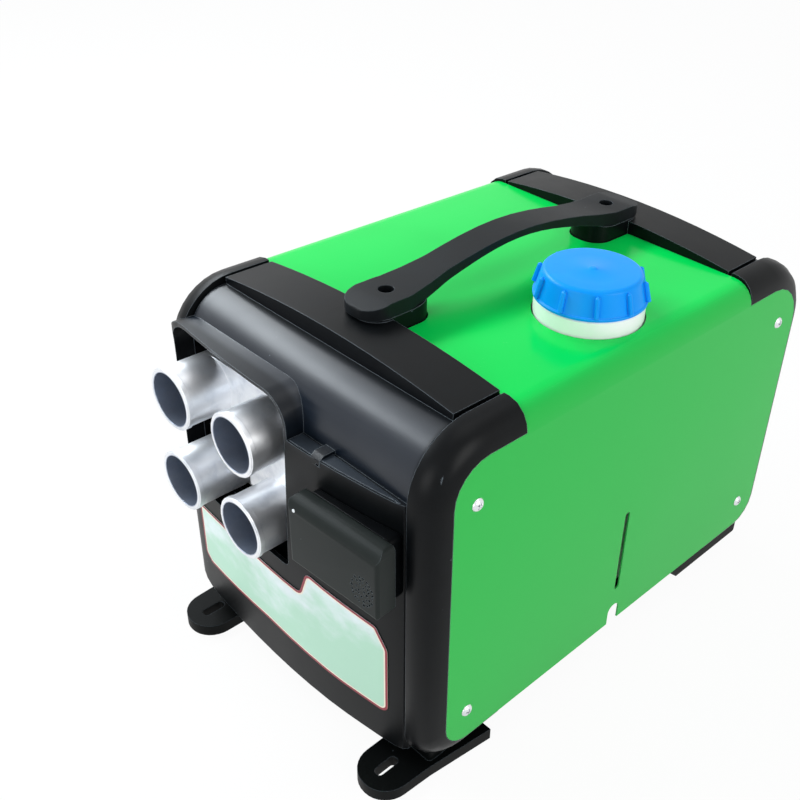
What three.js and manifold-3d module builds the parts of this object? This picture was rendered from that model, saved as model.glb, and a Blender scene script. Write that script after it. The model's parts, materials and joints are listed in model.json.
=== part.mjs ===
// Diesel air heater in a carry case: two black caps, a bent green cover, a fuel tank beside the heater duct.
// Millimetres, +Z up. The outlets face -Y, the front face is the plane y = 0 and x = 0 is the middle.
import * as THREE from "three";
import Module from "manifold-3d";
import { mergeVertices } from "three/addons/utils/BufferGeometryUtils.js";

// Driving sizes
const caseWidth = 250;
const coverTop = 261;
const coverBottom = 28;
const sheet = 1.2;
const bendRadius = 16;
const panelFront = 12;
const panelRear = 358;
const topFront = 66;
const topRear = 290;
const rearFace = 364;
const frontCornerRadius = 25;
const rearCornerRadius = 36;
const bottomCornerRadius = 20;
const gap = 0.3;
const wall = 3;

const rimWidth = 21;
const rimProud = 5;
const rimRound = 15;
const hoodDrop = 2;
const hoodDepth = 30;
const hoodHeight = 36;
const plateauFront = 30.5;
const plateauRise = 2.5;
const plateauCrown = 7;
const capBottom = 22;
const bulgeBottom = 22.5;
const ledgeDrop = 42;
const visorDrop = 16;
const visorReach = 67.5;
const visorCorner = 17;
const visorWall = 2.2;
const clipStart = 20.5;
const clipWidth = 8;

const screwFront = 29;
const screwRear = 335;
const screwHigh = 217;
const screwLow = 53.5;
const screwHeadRadius = 4.2;
const screwShankRadius = 2;
const postReach = 11;

const tubeRadius = 20.4;
const tubeWall = 2.4;
const tubeReach = 27;
const tubePitch = 65;
const tubeRise = 63.3;
const tubeBead = 0.7;
const ductInset = 11.5;
const outletDrop = 88.8;
const openingInset = 7;
const openingDrop = 53.7;
const openingReach = 60;
const castingFront = 4;
const castingRear = 46;

const neckInset = 51.5;
const tankNeckY = 177;
const neckRadius = 35.3;
const neckRise = 11;
const neckThreadRadius = 28;
const neckThreadLength = 14;
const tankGap = 4.5;
const tankInset = 8;
const tankFront = 62;
const tankRear = 292;
const tankBottom = 49.6;
const tankDrop = 11;
const tankWall = 2.6;

const fuelCapHeight = 18;
const fuelCapTopRadius = 31.4;
const fuelCapRibs = 10;
const fuelCapTurn = 9;

const handleReach = 129.5;
const handleHoleReach = 104;
const handleHoleRadius = 5;
const handleHoleDepth = 6.5;
const padWidth = 32;
const padCorner = 13;
const padRise = 20.5;
const padThick = 9.5;
const strapWidth = 23;
const strapRise = 12;
const strapThick = 5;
const bossHalf = 16;
const bossDepth = 34.5;
const bossCorner = 14;

const footPadHeight = 9;
const footInset = 29;
const footHalf = 18;
const footFront = 30;
const footSlot = [6.6, 17];
const footEnd = 57;
const rearFootStart = 279;
const rearFootRise = 16;

const basePlateTop = 49.3;
const basePlateThick = 1.5;

const controllerInset = 55.4;
const controllerY = -9.4;
const controllerDrop = 84;
const controllerWidth = 73.4;
const controllerHeight = 47.8;
const controllerThick = 13.4;
const controllerRound = 4;
const cradleThick = 5;
const controllerTurn = 3;

const ductSize = 118;
const ductWall = 2.5;
const boardWidth = 84;
const boardLength = 80;
const boardStart = 200;
const ductFront = 40;
const ductRear = 330;
const motorFront = 232;
const motorLength = 50;
const shaftRadius = 2.5;

const slotBottom = 59;
const slotTop = 128.5;
const slotWidth = 5;
const notchWidth = 12;
const notchTop = 43.8;

const pipePlaces = [95, 195];
const pipeWall = 1.5;
const pipeBottom = 12;
const stubRadius = 10.2;
const stubReach = 13;
const exchangerFront = 62;
const exchangerRear = 210;
const burnerRadius = 38;
const finReach = 51;
const burnerLineY = 222;
const combustionFanY = 222;
const airFanY = 299;
const pumpLength = 86;
const pumpRadius = 14;
const filterLength = 40;
const hoseRadius = 3.6;
const plugReach = 12;

const grilleRadius = 54;
const inletInset = 65;
const inletZ = 84;
const inletRadius = 12;
const inletDepth = 12;
const pinReach = 12;

const roundSteps = 24;
const finest = 0.02;

// Sizes that follow from them
const turn = Math.PI / 180;
const half = caseWidth / 2;
const faceHalf = half - rimWidth;
const crestHalf = half - rimRound;
const middleY = (topFront + topRear) / 2;
const hoodTop = coverTop - hoodDrop;
const plateauEdge = coverTop + plateauRise;
const plateauHalf = faceHalf - 1;
const ledgeTop = coverTop - ledgeDrop;
const visorTop = coverTop - visorDrop;
const pipeRadius = stubRadius + gap + pipeWall;
const outletX = ductInset + ductSize / 2 - half;
const outletZ = coverTop - outletDrop;
const openingLeft = openingInset - half;
const openingBottom = outletZ - openingDrop;
const openingBottomRight = outletX + openingReach;
const visorRight = outletX + visorReach;
const clipLeft = visorRight + clipStart;
const tankLeft = outletX + ductSize / 2 + tankGap;
const tankRight = half - tankInset;
const tankTop = coverTop - tankDrop;
const tankNeckX = half - neckInset;
const neckTop = coverTop + neckRise;
const neckThreadTop = neckTop + neckThreadLength;
const padTop = coverTop + padRise;
const padBottom = padTop - padThick;
const strapTop = padTop + strapRise;
const handleHoles = [middleY - handleHoleReach, middleY + handleHoleReach];
const footX = half - footInset;
const controllerX = half - controllerInset;
const controllerZ = coverTop - controllerDrop;
const inletX = half - inletInset;
const pumpStart = [outletX - 35.5, pipePlaces[0] + 55, basePlateTop + 18.7];
const filterStart = [outletX + 34.5, pipePlaces[0] + 5, basePlateTop + 16.7];
const fuelLineStart = [tankLeft, tankFront + 20, tankBottom + 16.4];

const wasm = await Module();
wasm.setup();

// Finishes
const blackPlastic = finish(0x1b1e20, 0.42, 0);
const grainedPlastic = finish(0x24282b, 0.6, 0);
const footPlastic = finish(0x17191b, 0.5, 0);
const greenPaint = finish(0x22cc5c, 0.35, 0);
const castAluminium = finish(0xc9cbce, 0.38, 1);
const steel = finish(0xd4d6d8, 0.3, 1);
const darkSteel = finish(0x2c2e30, 0.5, 0.8);
const whitePlastic = finish(0xf0f3f2, 0.45, 0);
const bluePlastic = finish(0x1892f0, 0.4, 0);
const redRubber = finish(0xa33a2c, 0.7, 0);
const glassFace = finish(0x303133, 0.25, 0);
const labelPrint = finish(0xc4e2d2, 0.4, 0);
const darkRubber = finish(0x1c1c1d, 0.75, 0);
const boardGreen = finish(0x1d6b3c, 0.5, 0);
const brass = finish(0xc7a254, 0.35, 1);
const clearAmber = finish(0xd9c98c, 0.3, 0);

function finish(color, roughness, metalness) {
  return new THREE.MeshStandardMaterial({ color, roughness, metalness });
}

// Geometry to solid and back
function solid(geometry) {
  const bare = geometry.clone();
  bare.deleteAttribute("normal");
  bare.deleteAttribute("uv");
  const merged = mergeVertices(bare, 1e-4);
  const index = new Uint32Array(merged.index.array);
  const vertProperties = new Float32Array(merged.attributes.position.array);
  return new wasm.Manifold(new wasm.Mesh({ numProp: 3, vertProperties, triVerts: index }));
}

function mesh(name, body, material) {
  const data = body.simplify(finest).getMesh();
  const geometry = new THREE.BufferGeometry();
  geometry.setAttribute("position", new THREE.BufferAttribute(data.vertProperties, 3));
  geometry.setIndex(new THREE.BufferAttribute(data.triVerts, 1));
  geometry.computeVertexNormals();
  const node = new THREE.Mesh(geometry, material);
  node.name = name;
  return node;
}

function join(...bodies) {
  return bodies.reduce((sum, body) => sum.add(body));
}

function cut(body, ...tools) {
  return tools.reduce((rest, tool) => rest.subtract(tool), body);
}

// A closed outline with rounded corners from [u, v, radius] corners
function outline(corners, steps = 6) {
  const points = [];
  const count = corners.length;
  corners.forEach(([u, v, radius = 0], i) => {
    const corner = new THREE.Vector2(u, v);
    if (!radius) {
      points.push(corner);
      return;
    }
    const before = new THREE.Vector2(...corners[(i + count - 1) % count]).sub(corner).normalize();
    const after = new THREE.Vector2(...corners[(i + 1) % count]).sub(corner).normalize();
    const halfAngle = Math.acos(THREE.MathUtils.clamp(before.dot(after), -1, 1)) / 2;
    const reach = radius / Math.tan(halfAngle);
    const middle = before.clone().add(after).normalize().multiplyScalar(radius / Math.sin(halfAngle));
    const centre = corner.clone().add(middle);
    const start = corner.clone().addScaledVector(before, reach).sub(centre);
    const end = corner.clone().addScaledVector(after, reach).sub(centre);
    const sweep = Math.atan2(start.cross(end), start.dot(end));
    for (let k = 0; k <= steps; k++) {
      const point = start.clone().rotateAround(new THREE.Vector2(), (sweep * k) / steps);
      points.push(point.add(centre));
    }
  });
  return points;
}

const axisBasis = {
  x: (from) => new THREE.Matrix4().set(0, 0, 1, from, 1, 0, 0, 0, 0, 1, 0, 0, 0, 0, 0, 1),
  y: (from, to) => new THREE.Matrix4().set(1, 0, 0, 0, 0, 0, -1, to, 0, 1, 0, 0, 0, 0, 0, 1),
  z: (from) => new THREE.Matrix4().makeTranslation(0, 0, from),
};

// Extrudes an outline along an axis. Outline axes: x takes (y, z), y takes (x, z), z takes (x, y).
function extrude(axis, points, from, to, holes = []) {
  const shape = new THREE.Shape(points);
  holes.forEach((hole) => shape.holes.push(new THREE.Path(hole)));
  const geometry = new THREE.ExtrudeGeometry(shape, { depth: to - from, bevelEnabled: false });
  geometry.applyMatrix4(axisBasis[axis](from, to));
  return solid(geometry);
}

function rectangle(u0, u1, v0, v1, radius = 0, steps = 5) {
  return outline([[u0, v0, radius], [u1, v0, radius], [u1, v1, radius], [u0, v1, radius]], steps);
}

function circle(u, v, radius, steps = roundSteps) {
  const points = [];
  for (let k = 0; k < steps; k++) {
    const angle = (k / steps) * Math.PI * 2;
    points.push(new THREE.Vector2(u + radius * Math.cos(angle), v + radius * Math.sin(angle)));
  }
  return points;
}

function box(x0, x1, y0, y1, z0, z1) {
  return extrude("z", rectangle(x0, x1, y0, y1), z0, z1);
}

function rod(axis, u, v, radius, from, to, steps = roundSteps) {
  return extrude(axis, circle(u, v, radius, steps), from, to);
}

function tube(axis, u, v, outer, inner, from, to, steps = roundSteps) {
  return extrude(axis, circle(u, v, outer, steps), from, to, [circle(u, v, inner, steps)]);
}

// Spins a closed [radius, height] profile about the Z axis, then stands it on an axis through a point
function spin(profile, steps = roundSteps) {
  const points = profile.map(([radius, height]) => new THREE.Vector2(radius, height));
  points.push(points[0].clone());
  const geometry = new THREE.LatheGeometry(points, steps);
  geometry.rotateX(Math.PI / 2);
  return outward(geometry);
}

function outward(geometry) {
  const body = mergeVertices(stripped(geometry), 1e-4);
  const position = body.attributes.position;
  const index = body.index.array;
  let volume = 0;
  const corners = [new THREE.Vector3(), new THREE.Vector3(), new THREE.Vector3()];
  const kept = [];
  for (let i = 0; i < index.length; i += 3) {
    const ids = [index[i], index[i + 1], index[i + 2]];
    if (new Set(ids).size < 3) continue;
    ids.forEach((id, k) => corners[k].fromBufferAttribute(position, id));
    volume += corners[0].dot(corners[1].clone().cross(corners[2]));
    kept.push(ids);
  }
  const facing = kept.flatMap(([a, b, c]) => (volume > 0 ? [a, b, c] : [a, c, b]));
  body.setIndex(facing);
  return solid(body);
}

function stripped(geometry) {
  const bare = geometry.clone();
  bare.deleteAttribute("normal");
  bare.deleteAttribute("uv");
  return bare;
}

// A solid through rings of 3-D points that all have the same count
function loft(rings) {
  const count = rings[0].length;
  const positions = rings.flatMap((ring) => ring.flatMap((point) => point.toArray()));
  const index = [];
  for (let i = 0; i < rings.length - 1; i++) {
    for (let j = 0; j < count; j++) {
      const a = i * count + j;
      const b = i * count + ((j + 1) % count);
      index.push(a, b, a + count, b, b + count, a + count);
    }
  }
  addLid(index, rings[0], 0, true);
  addLid(index, rings[rings.length - 1], (rings.length - 1) * count, false);
  const geometry = new THREE.BufferGeometry();
  geometry.setAttribute("position", new THREE.Float32BufferAttribute(positions, 3));
  geometry.setIndex(index);
  return outward(geometry);
}

function addLid(index, ring, start, reversed) {
  const spread = new THREE.Box3().setFromPoints(ring).getSize(new THREE.Vector3());
  const thin = Math.min(spread.x, spread.y, spread.z);
  const [u, v] = spread.x === thin ? ["y", "z"] : spread.y === thin ? ["z", "x"] : ["x", "y"];
  const points = ring.map((point) => new THREE.Vector2(point[u], point[v]));
  const leftHanded = THREE.ShapeUtils.isClockWise(points);
  THREE.ShapeUtils.triangulateShape(points, []).forEach(([a, b, c]) => {
    const same = THREE.ShapeUtils.isClockWise([points[a], points[b], points[c]]) === leftHanded;
    index.push(start + a, ...(same !== reversed ? [start + b, start + c] : [start + c, start + b]));
  });
}

// Body centre on y = 0 of the finished part
const frontReach = Math.max(tubeReach, footFront);
const centreY = (rearFace - frontReach) / 2;
const outletCentres = [-1, 1].flatMap((side) => [-1, 1].map((level) => [
  outletX + (side * tubePitch) / 2,
  outletZ + (level * tubeRise) / 2,
]));

// The cover's side outline in (y, z); grow moves every edge outwards
function sideOutline(grow = 0) {
  const edgeTop = coverTop - bendRadius + 1 + grow;
  const over = coverTop + 40;
  return outline([
    [panelFront - grow, coverBottom - grow, bottomCornerRadius + grow],
    [panelRear + grow, coverBottom - grow, bottomCornerRadius + grow],
    [panelRear + grow, edgeTop, rearCornerRadius + grow],
    [topRear + grow, edgeTop],
    [topRear + grow, over],
    [topFront - grow, over],
    [topFront - grow, edgeTop],
    [panelFront - grow, edgeTop, frontCornerRadius + grow],
  ]);
}

// The bent sheet's front view in (x, z), inset from its outer face
function sheetOutline(inset) {
  const side = half - inset;
  const radius = bendRadius - inset;
  const below = coverBottom - 30;
  return outline([[-side, below], [side, below], [side, coverTop - inset, radius], [-side, coverTop - inset, radius]]);
}

function sideHoles(axisPoints, radius) {
  return axisPoints.map(([y, z]) => rod("x", y, z, radius, -half - 5, half + 5, 16));
}

const screwPlaces = [screwFront, screwRear].flatMap((y) => [screwLow, screwHigh].map((z) => [y, z]));

function bossOutline(grow) {
  const reach = topFront + bossDepth + grow;
  const start = middleY - handleReach + 2;
  return rectangle(-bossHalf - grow, bossHalf + grow, start, reach, bossCorner + grow, 8);
}

function mirrored(points) {
  return points.map((point) => new THREE.Vector2(point.x, 2 * middleY - point.y)).reverse();
}

function coverSheet() {
  const long = [panelFront - 1, panelRear + 1];
  const bent = cut(extrude("y", sheetOutline(0), ...long), extrude("y", sheetOutline(sheet), ...long));
  const trimmed = bent.intersect(extrude("x", sideOutline(), -half - 1, half + 1));
  const slot = rectangle(middleY - slotWidth / 2, middleY + slotWidth / 2, slotBottom, slotTop, slotWidth / 2 - 0.1);
  const notch = rectangle(middleY - notchWidth / 2, middleY + notchWidth / 2, coverBottom - 9, notchTop, 5.5);
  return cut(
    trimmed,
    rod("z", tankNeckX, tankNeckY, neckRadius + 1, coverTop - 5, coverTop + 5, 40),
    extrude("z", bossOutline(0.8), coverTop - 5, coverTop + 5),
    extrude("z", mirrored(bossOutline(0.8)), coverTop - 5, coverTop + 5),
    extrude("x", slot, half - 5, half + 5),
    extrude("x", notch, -half - 5, half + 5),
    ...sideHoles(screwPlaces, screwShankRadius + gap),
  );
}

// Room taken by the cover, with its clearance
function coverRoom() {
  const outer = box(-half - 9, half + 9, panelFront - 5, panelRear + 5, coverBottom - 20, coverTop + 20);
  const inner = extrude("y", sheetOutline(sheet + gap), panelFront - 9, panelRear + 9);
  return outer.subtract(inner).intersect(extrude("x", sideOutline(gap), -half - 9, half + 9));
}

// A cap's shape, as distances from its own face: face and crest of the rim, and where it meets the cover
const frontShape = {
  face: 0,
  crest: -rimProud,
  edge: panelFront,
  crestStart: crestHalf,
  hoodDepth: hoodDepth,
  hoodHeight: hoodHeight,
  rimCorner: 42,
  edgeCorner: frontCornerRadius,
};
const rearOffset = 2 * middleY - rearFace;
const rearShape = {
  face: rearOffset + 2,
  crest: rearOffset,
  edge: 2 * middleY - panelRear,
  crestStart: half - 6,
  hoodDepth: 40,
  hoodHeight: 40,
  rimCorner: 42,
  edgeCorner: rearCornerRadius,
};

function ease(from, to, share) {
  return from + (to - from) * share;
}

function roundOff(x, start) {
  const share = THREE.MathUtils.clamp((x - start) / (half - start), 0, 1);
  return 1 - Math.sqrt(1 - share * share);
}

function capRing(x, shape) {
  const reach = Math.abs(x);
  const edgeTop = coverTop - bendRadius + 1;
  const rimTop = plateauEdge;
  let front = shape.face;
  let top = hoodTop;
  let depth = shape.hoodDepth;
  let height = shape.hoodHeight;
  let bottom = capBottom;
  let low = 10;
  if (reach > faceHalf + 0.5) {
    const down = roundOff(reach, crestHalf);
    const back = roundOff(reach, shape.crestStart);
    front = ease(shape.crest, shape.edge, back);
    top = ease(rimTop, edgeTop, down);
    depth = ease(shape.rimCorner, shape.edgeCorner, down);
    height = depth;
    bottom = ease(capBottom, coverBottom, down);
    low = bottomCornerRadius;
  }
  if (Math.abs(reach - faceHalf - 1) < 0.1) {
    front = shape.face + 2;
    top = hoodTop - 2;
  }
  const points = [[topFront + 30, bottom]];
  for (let k = 0; k <= 4; k++) {
    const angle = (k / 4) * 90 * turn;
    points.push([front + low * (1 - Math.sin(angle)), bottom + low * (1 - Math.cos(angle))]);
  }
  for (let k = 0; k <= 9; k++) {
    const angle = (k / 9) * 90 * turn;
    points.push([front + depth * (1 - Math.cos(angle)), top - height * (1 - Math.sin(angle))]);
  }
  points.push([topFront + 30, top]);
  return points.map(([y, z]) => new THREE.Vector3(x, y, z));
}

function capStations() {
  const inner = [0, faceHalf, faceHalf + 1, faceHalf + 2.2];
  const outer = [0, 25, 50, 70, 90].map((angle) => crestHalf + rimRound * Math.sin(angle * turn));
  const right = [...inner, ...outer];
  return [...right.slice(1).map((x) => -x).reverse(), ...right];
}

function crownOutline(width, edge, bottom) {
  const points = [new THREE.Vector2(-width, bottom), new THREE.Vector2(width, bottom)];
  for (let k = 12; k >= 0; k--) {
    const share = (k / 12) * 2 - 1;
    points.push(new THREE.Vector2(width * share, edge + plateauCrown * (1 - share * share)));
  }
  return points;
}

// The hollow cap before its openings, in the front cap's place
function capShell(shape) {
  const outer = loft(capStations().map((x) => capRing(x, shape)));
  const plateau = extrude("y", crownOutline(plateauHalf, plateauEdge, coverTop - 20), plateauFront, topFront + 5);
  const side = half - sheet - gap - wall;
  const inside = outline([
    [shape.face + wall, capBottom + wall, 8],
    [topFront + 40, capBottom + wall],
    [topFront + 40, hoodTop - wall],
    [shape.face + wall, hoodTop - wall, shape.hoodDepth - wall],
  ]);
  const barrel = rectangle(-side, side, capBottom + wall + 2, hoodTop - wall, bendRadius - sheet - gap - wall + 4);
  const hollow = extrude("x", inside, -side, side).intersect(extrude("y", barrel, -20, topFront + 50));
  const under = crownOutline(plateauHalf - wall, plateauEdge - wall, coverTop - 20);
  const lift = extrude("y", under, plateauFront + wall, topFront - gap - wall);
  const behind = extrude("x", outline([
    [46, hoodTop - 24],
    [46, capBottom + 22],
    [60, capBottom + 22],
    [60, -10],
    [topFront + 50, -10],
    [topFront + 50, hoodTop - 24],
  ].map(([y, z]) => [y, z, 0])), -half - 5, half + 5);
  return cut(join(outer, plateau), hollow, lift, behind);
}

function screwPosts(y) {
  const inner = half - postReach;
  const outer = half - sheet - gap - 0.2;
  return [screwLow, screwHigh].flatMap((z) => [
    rod("x", y, z, 5.5, inner, outer, 16),
    rod("x", y, z, 5.5, -outer, -inner, 16),
  ]);
}

function plateSeats() {
  const top = basePlateTop - basePlateThick - gap;
  return [
    box(half - 41, half - 13, 20, 44, capBottom + 2, top),
    box(13 - half, 41 - half, 20, 44, capBottom + 2, top),
  ];
}

// The boss rises to the underside of the handle and follows it
function handleBoss() {
  const block = extrude("z", bossOutline(0), coverTop - 10, strapTop);
  const room = handleProfile().map((point) => new THREE.Vector2(point.x, point.y - gap));
  const above = outline([...room.slice(0, handleSteps + 1).map(({ x, y }) => [x, y]), [middleY, 400], [0, 400]]);
  return cut(block, extrude("x", above, -half, half), box(-half, half, 0, 200, padTop, 400));
}

function handleScrewHole(y) {
  return rod("z", 0, y, screwShankRadius + 0.1, coverTop - 20, padTop, 16);
}

function mirrorY(body) {
  return body.mirror([0, 1, 0]).translate([0, 2 * middleY, 0]);
}

// The front panel bulges forward; its plan in (x, y) is drawn for a half face of this width
const planHalf = 104;
const bulgePlan = [
  [103.8, 0.4], [101.6, -2.4], [96, -4.2], [84, -6.2], [70, -8], [55, -9.8], [39, -11.2], [20, -12.1], [0, -12.4], [-20, -12.1],
  [-40, -11.3], [-60, -10.1], [-80, -8.5], [-97, -6.9], [-110, -5.4], [-115, -4.1], [-119, -1.6], [-121.5, 1.5],
].map(([x, y]) => [(x * faceHalf) / planHalf, y]);

// The label's corners (x, z) and their radii, drawn for the same half face
const labelCorners = [
  [-104, 57, 5],
  [-96, 51.5, 6],
  [-72, 52],
  [-21, 54.3],
  [50, 50.3],
  [91, 49.3, 6],
  [91, 104, 8],
  [82, 118.7, 4],
  [23.4, 124.9, 6],
  [15.9, 104, 6],
  [-28, 104.3],
  [-75, 102.8],
  [-104, 101.5, 4],
].map(([x, ...rest]) => [(x * faceHalf) / planHalf, ...rest]);

function bulgePanel() {
  const plan = [...bulgePlan.map(([x, y]) => new THREE.Vector2(x, y)), new THREE.Vector2(openingLeft, panelFront)];
  plan.push(new THREE.Vector2(60, panelFront), new THREE.Vector2(faceHalf, 4));
  const front = outline([
    [-half, bulgeBottom, 28],
    [faceHalf + 0.5, bulgeBottom],
    [faceHalf + 0.5, ledgeTop],
    [visorRight, ledgeTop],
    [visorRight, visorTop, visorCorner + visorWall],
    [-half, visorTop, 28],
  ]);
  const panel = extrude("z", plan, bulgeBottom - 1, visorTop + 1);
  return panel.intersect(extrude("y", front, -20, 14));
}

// The opening under the visor, through which the outlets stand
function outletOpening() {
  const right = visorRight - visorWall;
  return extrude("y", outline([
    [openingLeft, openingBottom, 6],
    [openingBottomRight, openingBottom, 4],
    [right, ledgeTop],
    [right, visorTop - visorWall, visorCorner],
    [openingLeft, visorTop - visorWall, 24],
  ]), -20, 20);
}

// A small catch on the ledge, with a hole in front of it
function ledgeClip() {
    return extrude("x", outline([
    [-11.4, ledgeTop - 4],
    [2, ledgeTop - 4],
    [2, ledgeTop + 2.6],
    [-8, ledgeTop + 2.6, 1.5],
    [-11.4, ledgeTop, 1],
  ], 3), clipLeft, clipLeft + clipWidth);
}

function frontCap() {
  const shell = join(cut(capShell(frontShape), coverRoom()), ...screwPosts(screwFront), ...plateSeats(), handleBoss());
  const relief = bulgeRelief();
  return cut(
    join(shell, bulgePanel(), ledgeClip()),
    relief,
    outletOpening(),
    rod("y", clipLeft + clipWidth - 2, ledgeTop - 3, 1.1, -14, -9, 10),
    ...sideHoles([[screwFront, screwLow], [screwFront, screwHigh]], screwShankRadius + 0.1),
    handleScrewHole(handleHoles[0]),
  );
}

// Hollows the bulge from behind, so that its wall stays thin
function bulgeRelief() {
  const plan = bulgePlan.slice(2, -3).map(([x, y]) => new THREE.Vector2(x * 0.98, y + wall));
  const right = faceHalf - 2 * wall;
  plan.push(new THREE.Vector2(4 - faceHalf - 8, 6), new THREE.Vector2(right - 6, 6));
  const front = rectangle(8 - half + 5, right, capBottom + 8, ledgeTop - wall, 6);
  return extrude("z", plan, 0, ledgeTop).intersect(extrude("y", front, -20, 14));
}

function rearCap() {
  const shell = join(
    cut(capShell(rearShape), mirrorY(coverRoom())),
    ...screwPosts(2 * middleY - screwRear),
    ...plateSeats(),
    handleBoss(),
  );
  return cut(
    mirrorY(shell),
    handleScrewHole(handleHoles[1]),
    rod("y", outletX, outletZ, grilleRadius, rearFace - 20, rearFace + 5, 40),
    rod("y", inletX, inletZ, inletRadius + gap, rearFace - 20, rearFace + 5, 24),
    ...sideHoles([[screwRear, screwLow], [screwRear, screwHigh]], screwShankRadius + 0.1),
  );
}

function basePlate() {
  const wide = half - sheet - 6;
  const narrow = half - 26;
  const shape = outline([
    [-narrow, 14],
    [narrow, 14],
    [narrow, 46],
    [wide, 46],
    [wide, 310],
    [narrow, 310],
    [narrow, 350],
    [-narrow, 350],
    [-narrow, 310],
    [-wide, 310],
    [-wide, 46],
    [-narrow, 46],
  ]);
  const holes = pipePlaces.map((y) => circle(outletX, y, pipeRadius + 0.6, 20));
  return extrude("z", shape, basePlateTop - basePlateThick, basePlateTop, holes);
}

// Feet: a pad with a slotted tongue in front, and a long block at the rear
function frontFoot(side) {
  const inner = footX - footHalf;
  const pad = outline([
    [inner, -footFront, footHalf - 0.1],
    [footX + footHalf, -footFront, footHalf - 0.1],
    [footX + 20, 8],
    [footX + 26, footEnd],
    [inner, footEnd],
  ], 8);
  const wide = footSlot[0] / 2;
  const slot = rectangle(footX - wide, footX + wide, -3 - footSlot[1], -3, wide - 0.6);
  const block = extrude("z", rectangle(inner, footX + 17, 10, footEnd, 3), footPadHeight - 1, capBottom - gap);
  return placed(join(extrude("z", pad, 0, footPadHeight, [slot]), block), side);
}

function rearFoot(side) {
  const inner = footX - footHalf;
  const profile = outline([
    [rearFootStart, 0],
    [rearFace - 1, 0, 2],
    [rearFace - 1, rearFootRise - 4, 3],
    [rearFace - 14, rearFootRise + 1],
    [rearFace - 14, capBottom - gap],
    [rearFootStart - 14, capBottom - gap],
    [rearFootStart - 16, rearFootRise - 1],
  ], 3);
  return placed(extrude("x", profile, inner, footX + 19), side);
}

// Mirrors a right-hand body to the left when side is -1
function placed(body, side) {
  return side > 0 ? body : body.mirror([1, 0, 0]);
}

const handleSteps = 9;

// Height of the handle's top and underside over its distance from the middle
function handleHeight(distance, end, crown) {
  const share = THREE.MathUtils.clamp(distance / (handleReach - 38), 0, 1);
  const drop = 0.6 * share * share + 0.4 * (1 - Math.cos(share * Math.PI)) / 2;
  return ease(crown, end, drop);
}

// The handle's side outline in (y, z), from the front end under the strap to the rear end and back
function handleProfile() {
  const points = [];
  for (let k = 0; k <= handleSteps; k++) {
    const distance = ease(handleReach - 34, 0, k / handleSteps);
    points.push([-distance, handleHeight(distance, padBottom, strapTop - strapThick)]);
  }
  const under = [[-handleReach, padBottom], ...points.slice(0, -1)];
  const lid = [[-handleReach, padTop - 3, 2], ...[0.88, 0.74, 0.62, 0.5, 0.37, 0.25, 0.12].map((share) => [
    -share * handleReach,
    handleHeight(share * handleReach, padTop, strapTop),
  ])];
  const front = [...under, [0, strapTop - strapThick]];
  const mirroredUnder = under.map(([y, z]) => [-y, z]).reverse();
  const mirroredLid = lid.map(([y, ...rest]) => [-y, ...rest]);
  const loop = [...front, ...mirroredUnder, ...mirroredLid, [0, strapTop], ...lid.reverse()];
  return outline(loop.map(([y, ...rest]) => [middleY + y, ...rest]), 3);
}

// Wide rounded pads at both ends, and a narrower strap between them
function handlePlan() {
  const pad = padWidth / 2;
  const strap = strapWidth / 2;
  const reach = handleReach;
  const side = [[pad, -reach, padCorner], [pad, -reach + 30, 30], [strap, -reach + 66, 60]];
  const right = [...side, ...side.map(([x, y, radius]) => [x, -y, radius]).reverse()];
  const left = right.map(([x, y, radius]) => [-x, y, radius]).reverse();
  return outline([...right, ...left].map(([x, y, radius]) => [x, middleY + y, radius]), 5);
}

function carryHandle() {
  const bar = extrude("x", handleProfile(), -padWidth, padWidth);
  const trimmed = bar.intersect(extrude("z", handlePlan(), padBottom - 1, strapTop + 1));
  return cut(
    trimmed,
    ...handleHoles.flatMap((y) => [
      rod("z", 0, y, handleHoleRadius, padTop - handleHoleDepth, padTop + 9, 24),
      rod("z", 0, y, screwShankRadius + 0.1, padBottom - 1, padTop, 16),
    ]),
  );
}

// A pan-head screw that stands on z = 0, with its shank below
function screw(length) {
  const head = screwHeadRadius;
  return spin([
    [0, -length],
    [screwShankRadius, -length],
    [screwShankRadius, 0],
    [head, 0],
    [head, 1],
    [head * 0.7, 2.1],
    [0, 2.5],
  ], 12);
}

function coverScrews() {
  const shape = screw(postReach - 1.5);
  return screwPlaces.flatMap(([y, z], i) => [-1, 1].map((side) => {
    const node = mesh(`cover_screw_${i * 2 + (side > 0 ? 2 : 1)}`, shape, steel);
    node.position.set(side * (half + 0.15), y, z);
    node.rotation.set(0, side * 90 * turn, 0);
    return node;
  }));
}

function handleScrews() {
  const shape = screw(18);
  return handleHoles.map((y, i) => {
    const node = mesh(`handle_screw_${i + 1}`, shape, darkSteel);
    node.position.set(0, y, padTop - handleHoleDepth + 0.15);
    return node;
  });
}

function roundedBox(x0, x1, y0, y1, z0, z1, radius) {
  return extrude("x", rectangle(y0, y1, z0, z1, radius, 3), x0, x1)
    .intersect(extrude("y", rectangle(x0, x1, z0, z1, radius, 3), y0, y1))
    .intersect(extrude("z", rectangle(x0, x1, y0, y1, radius, 3), z0, z1));
}

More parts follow.
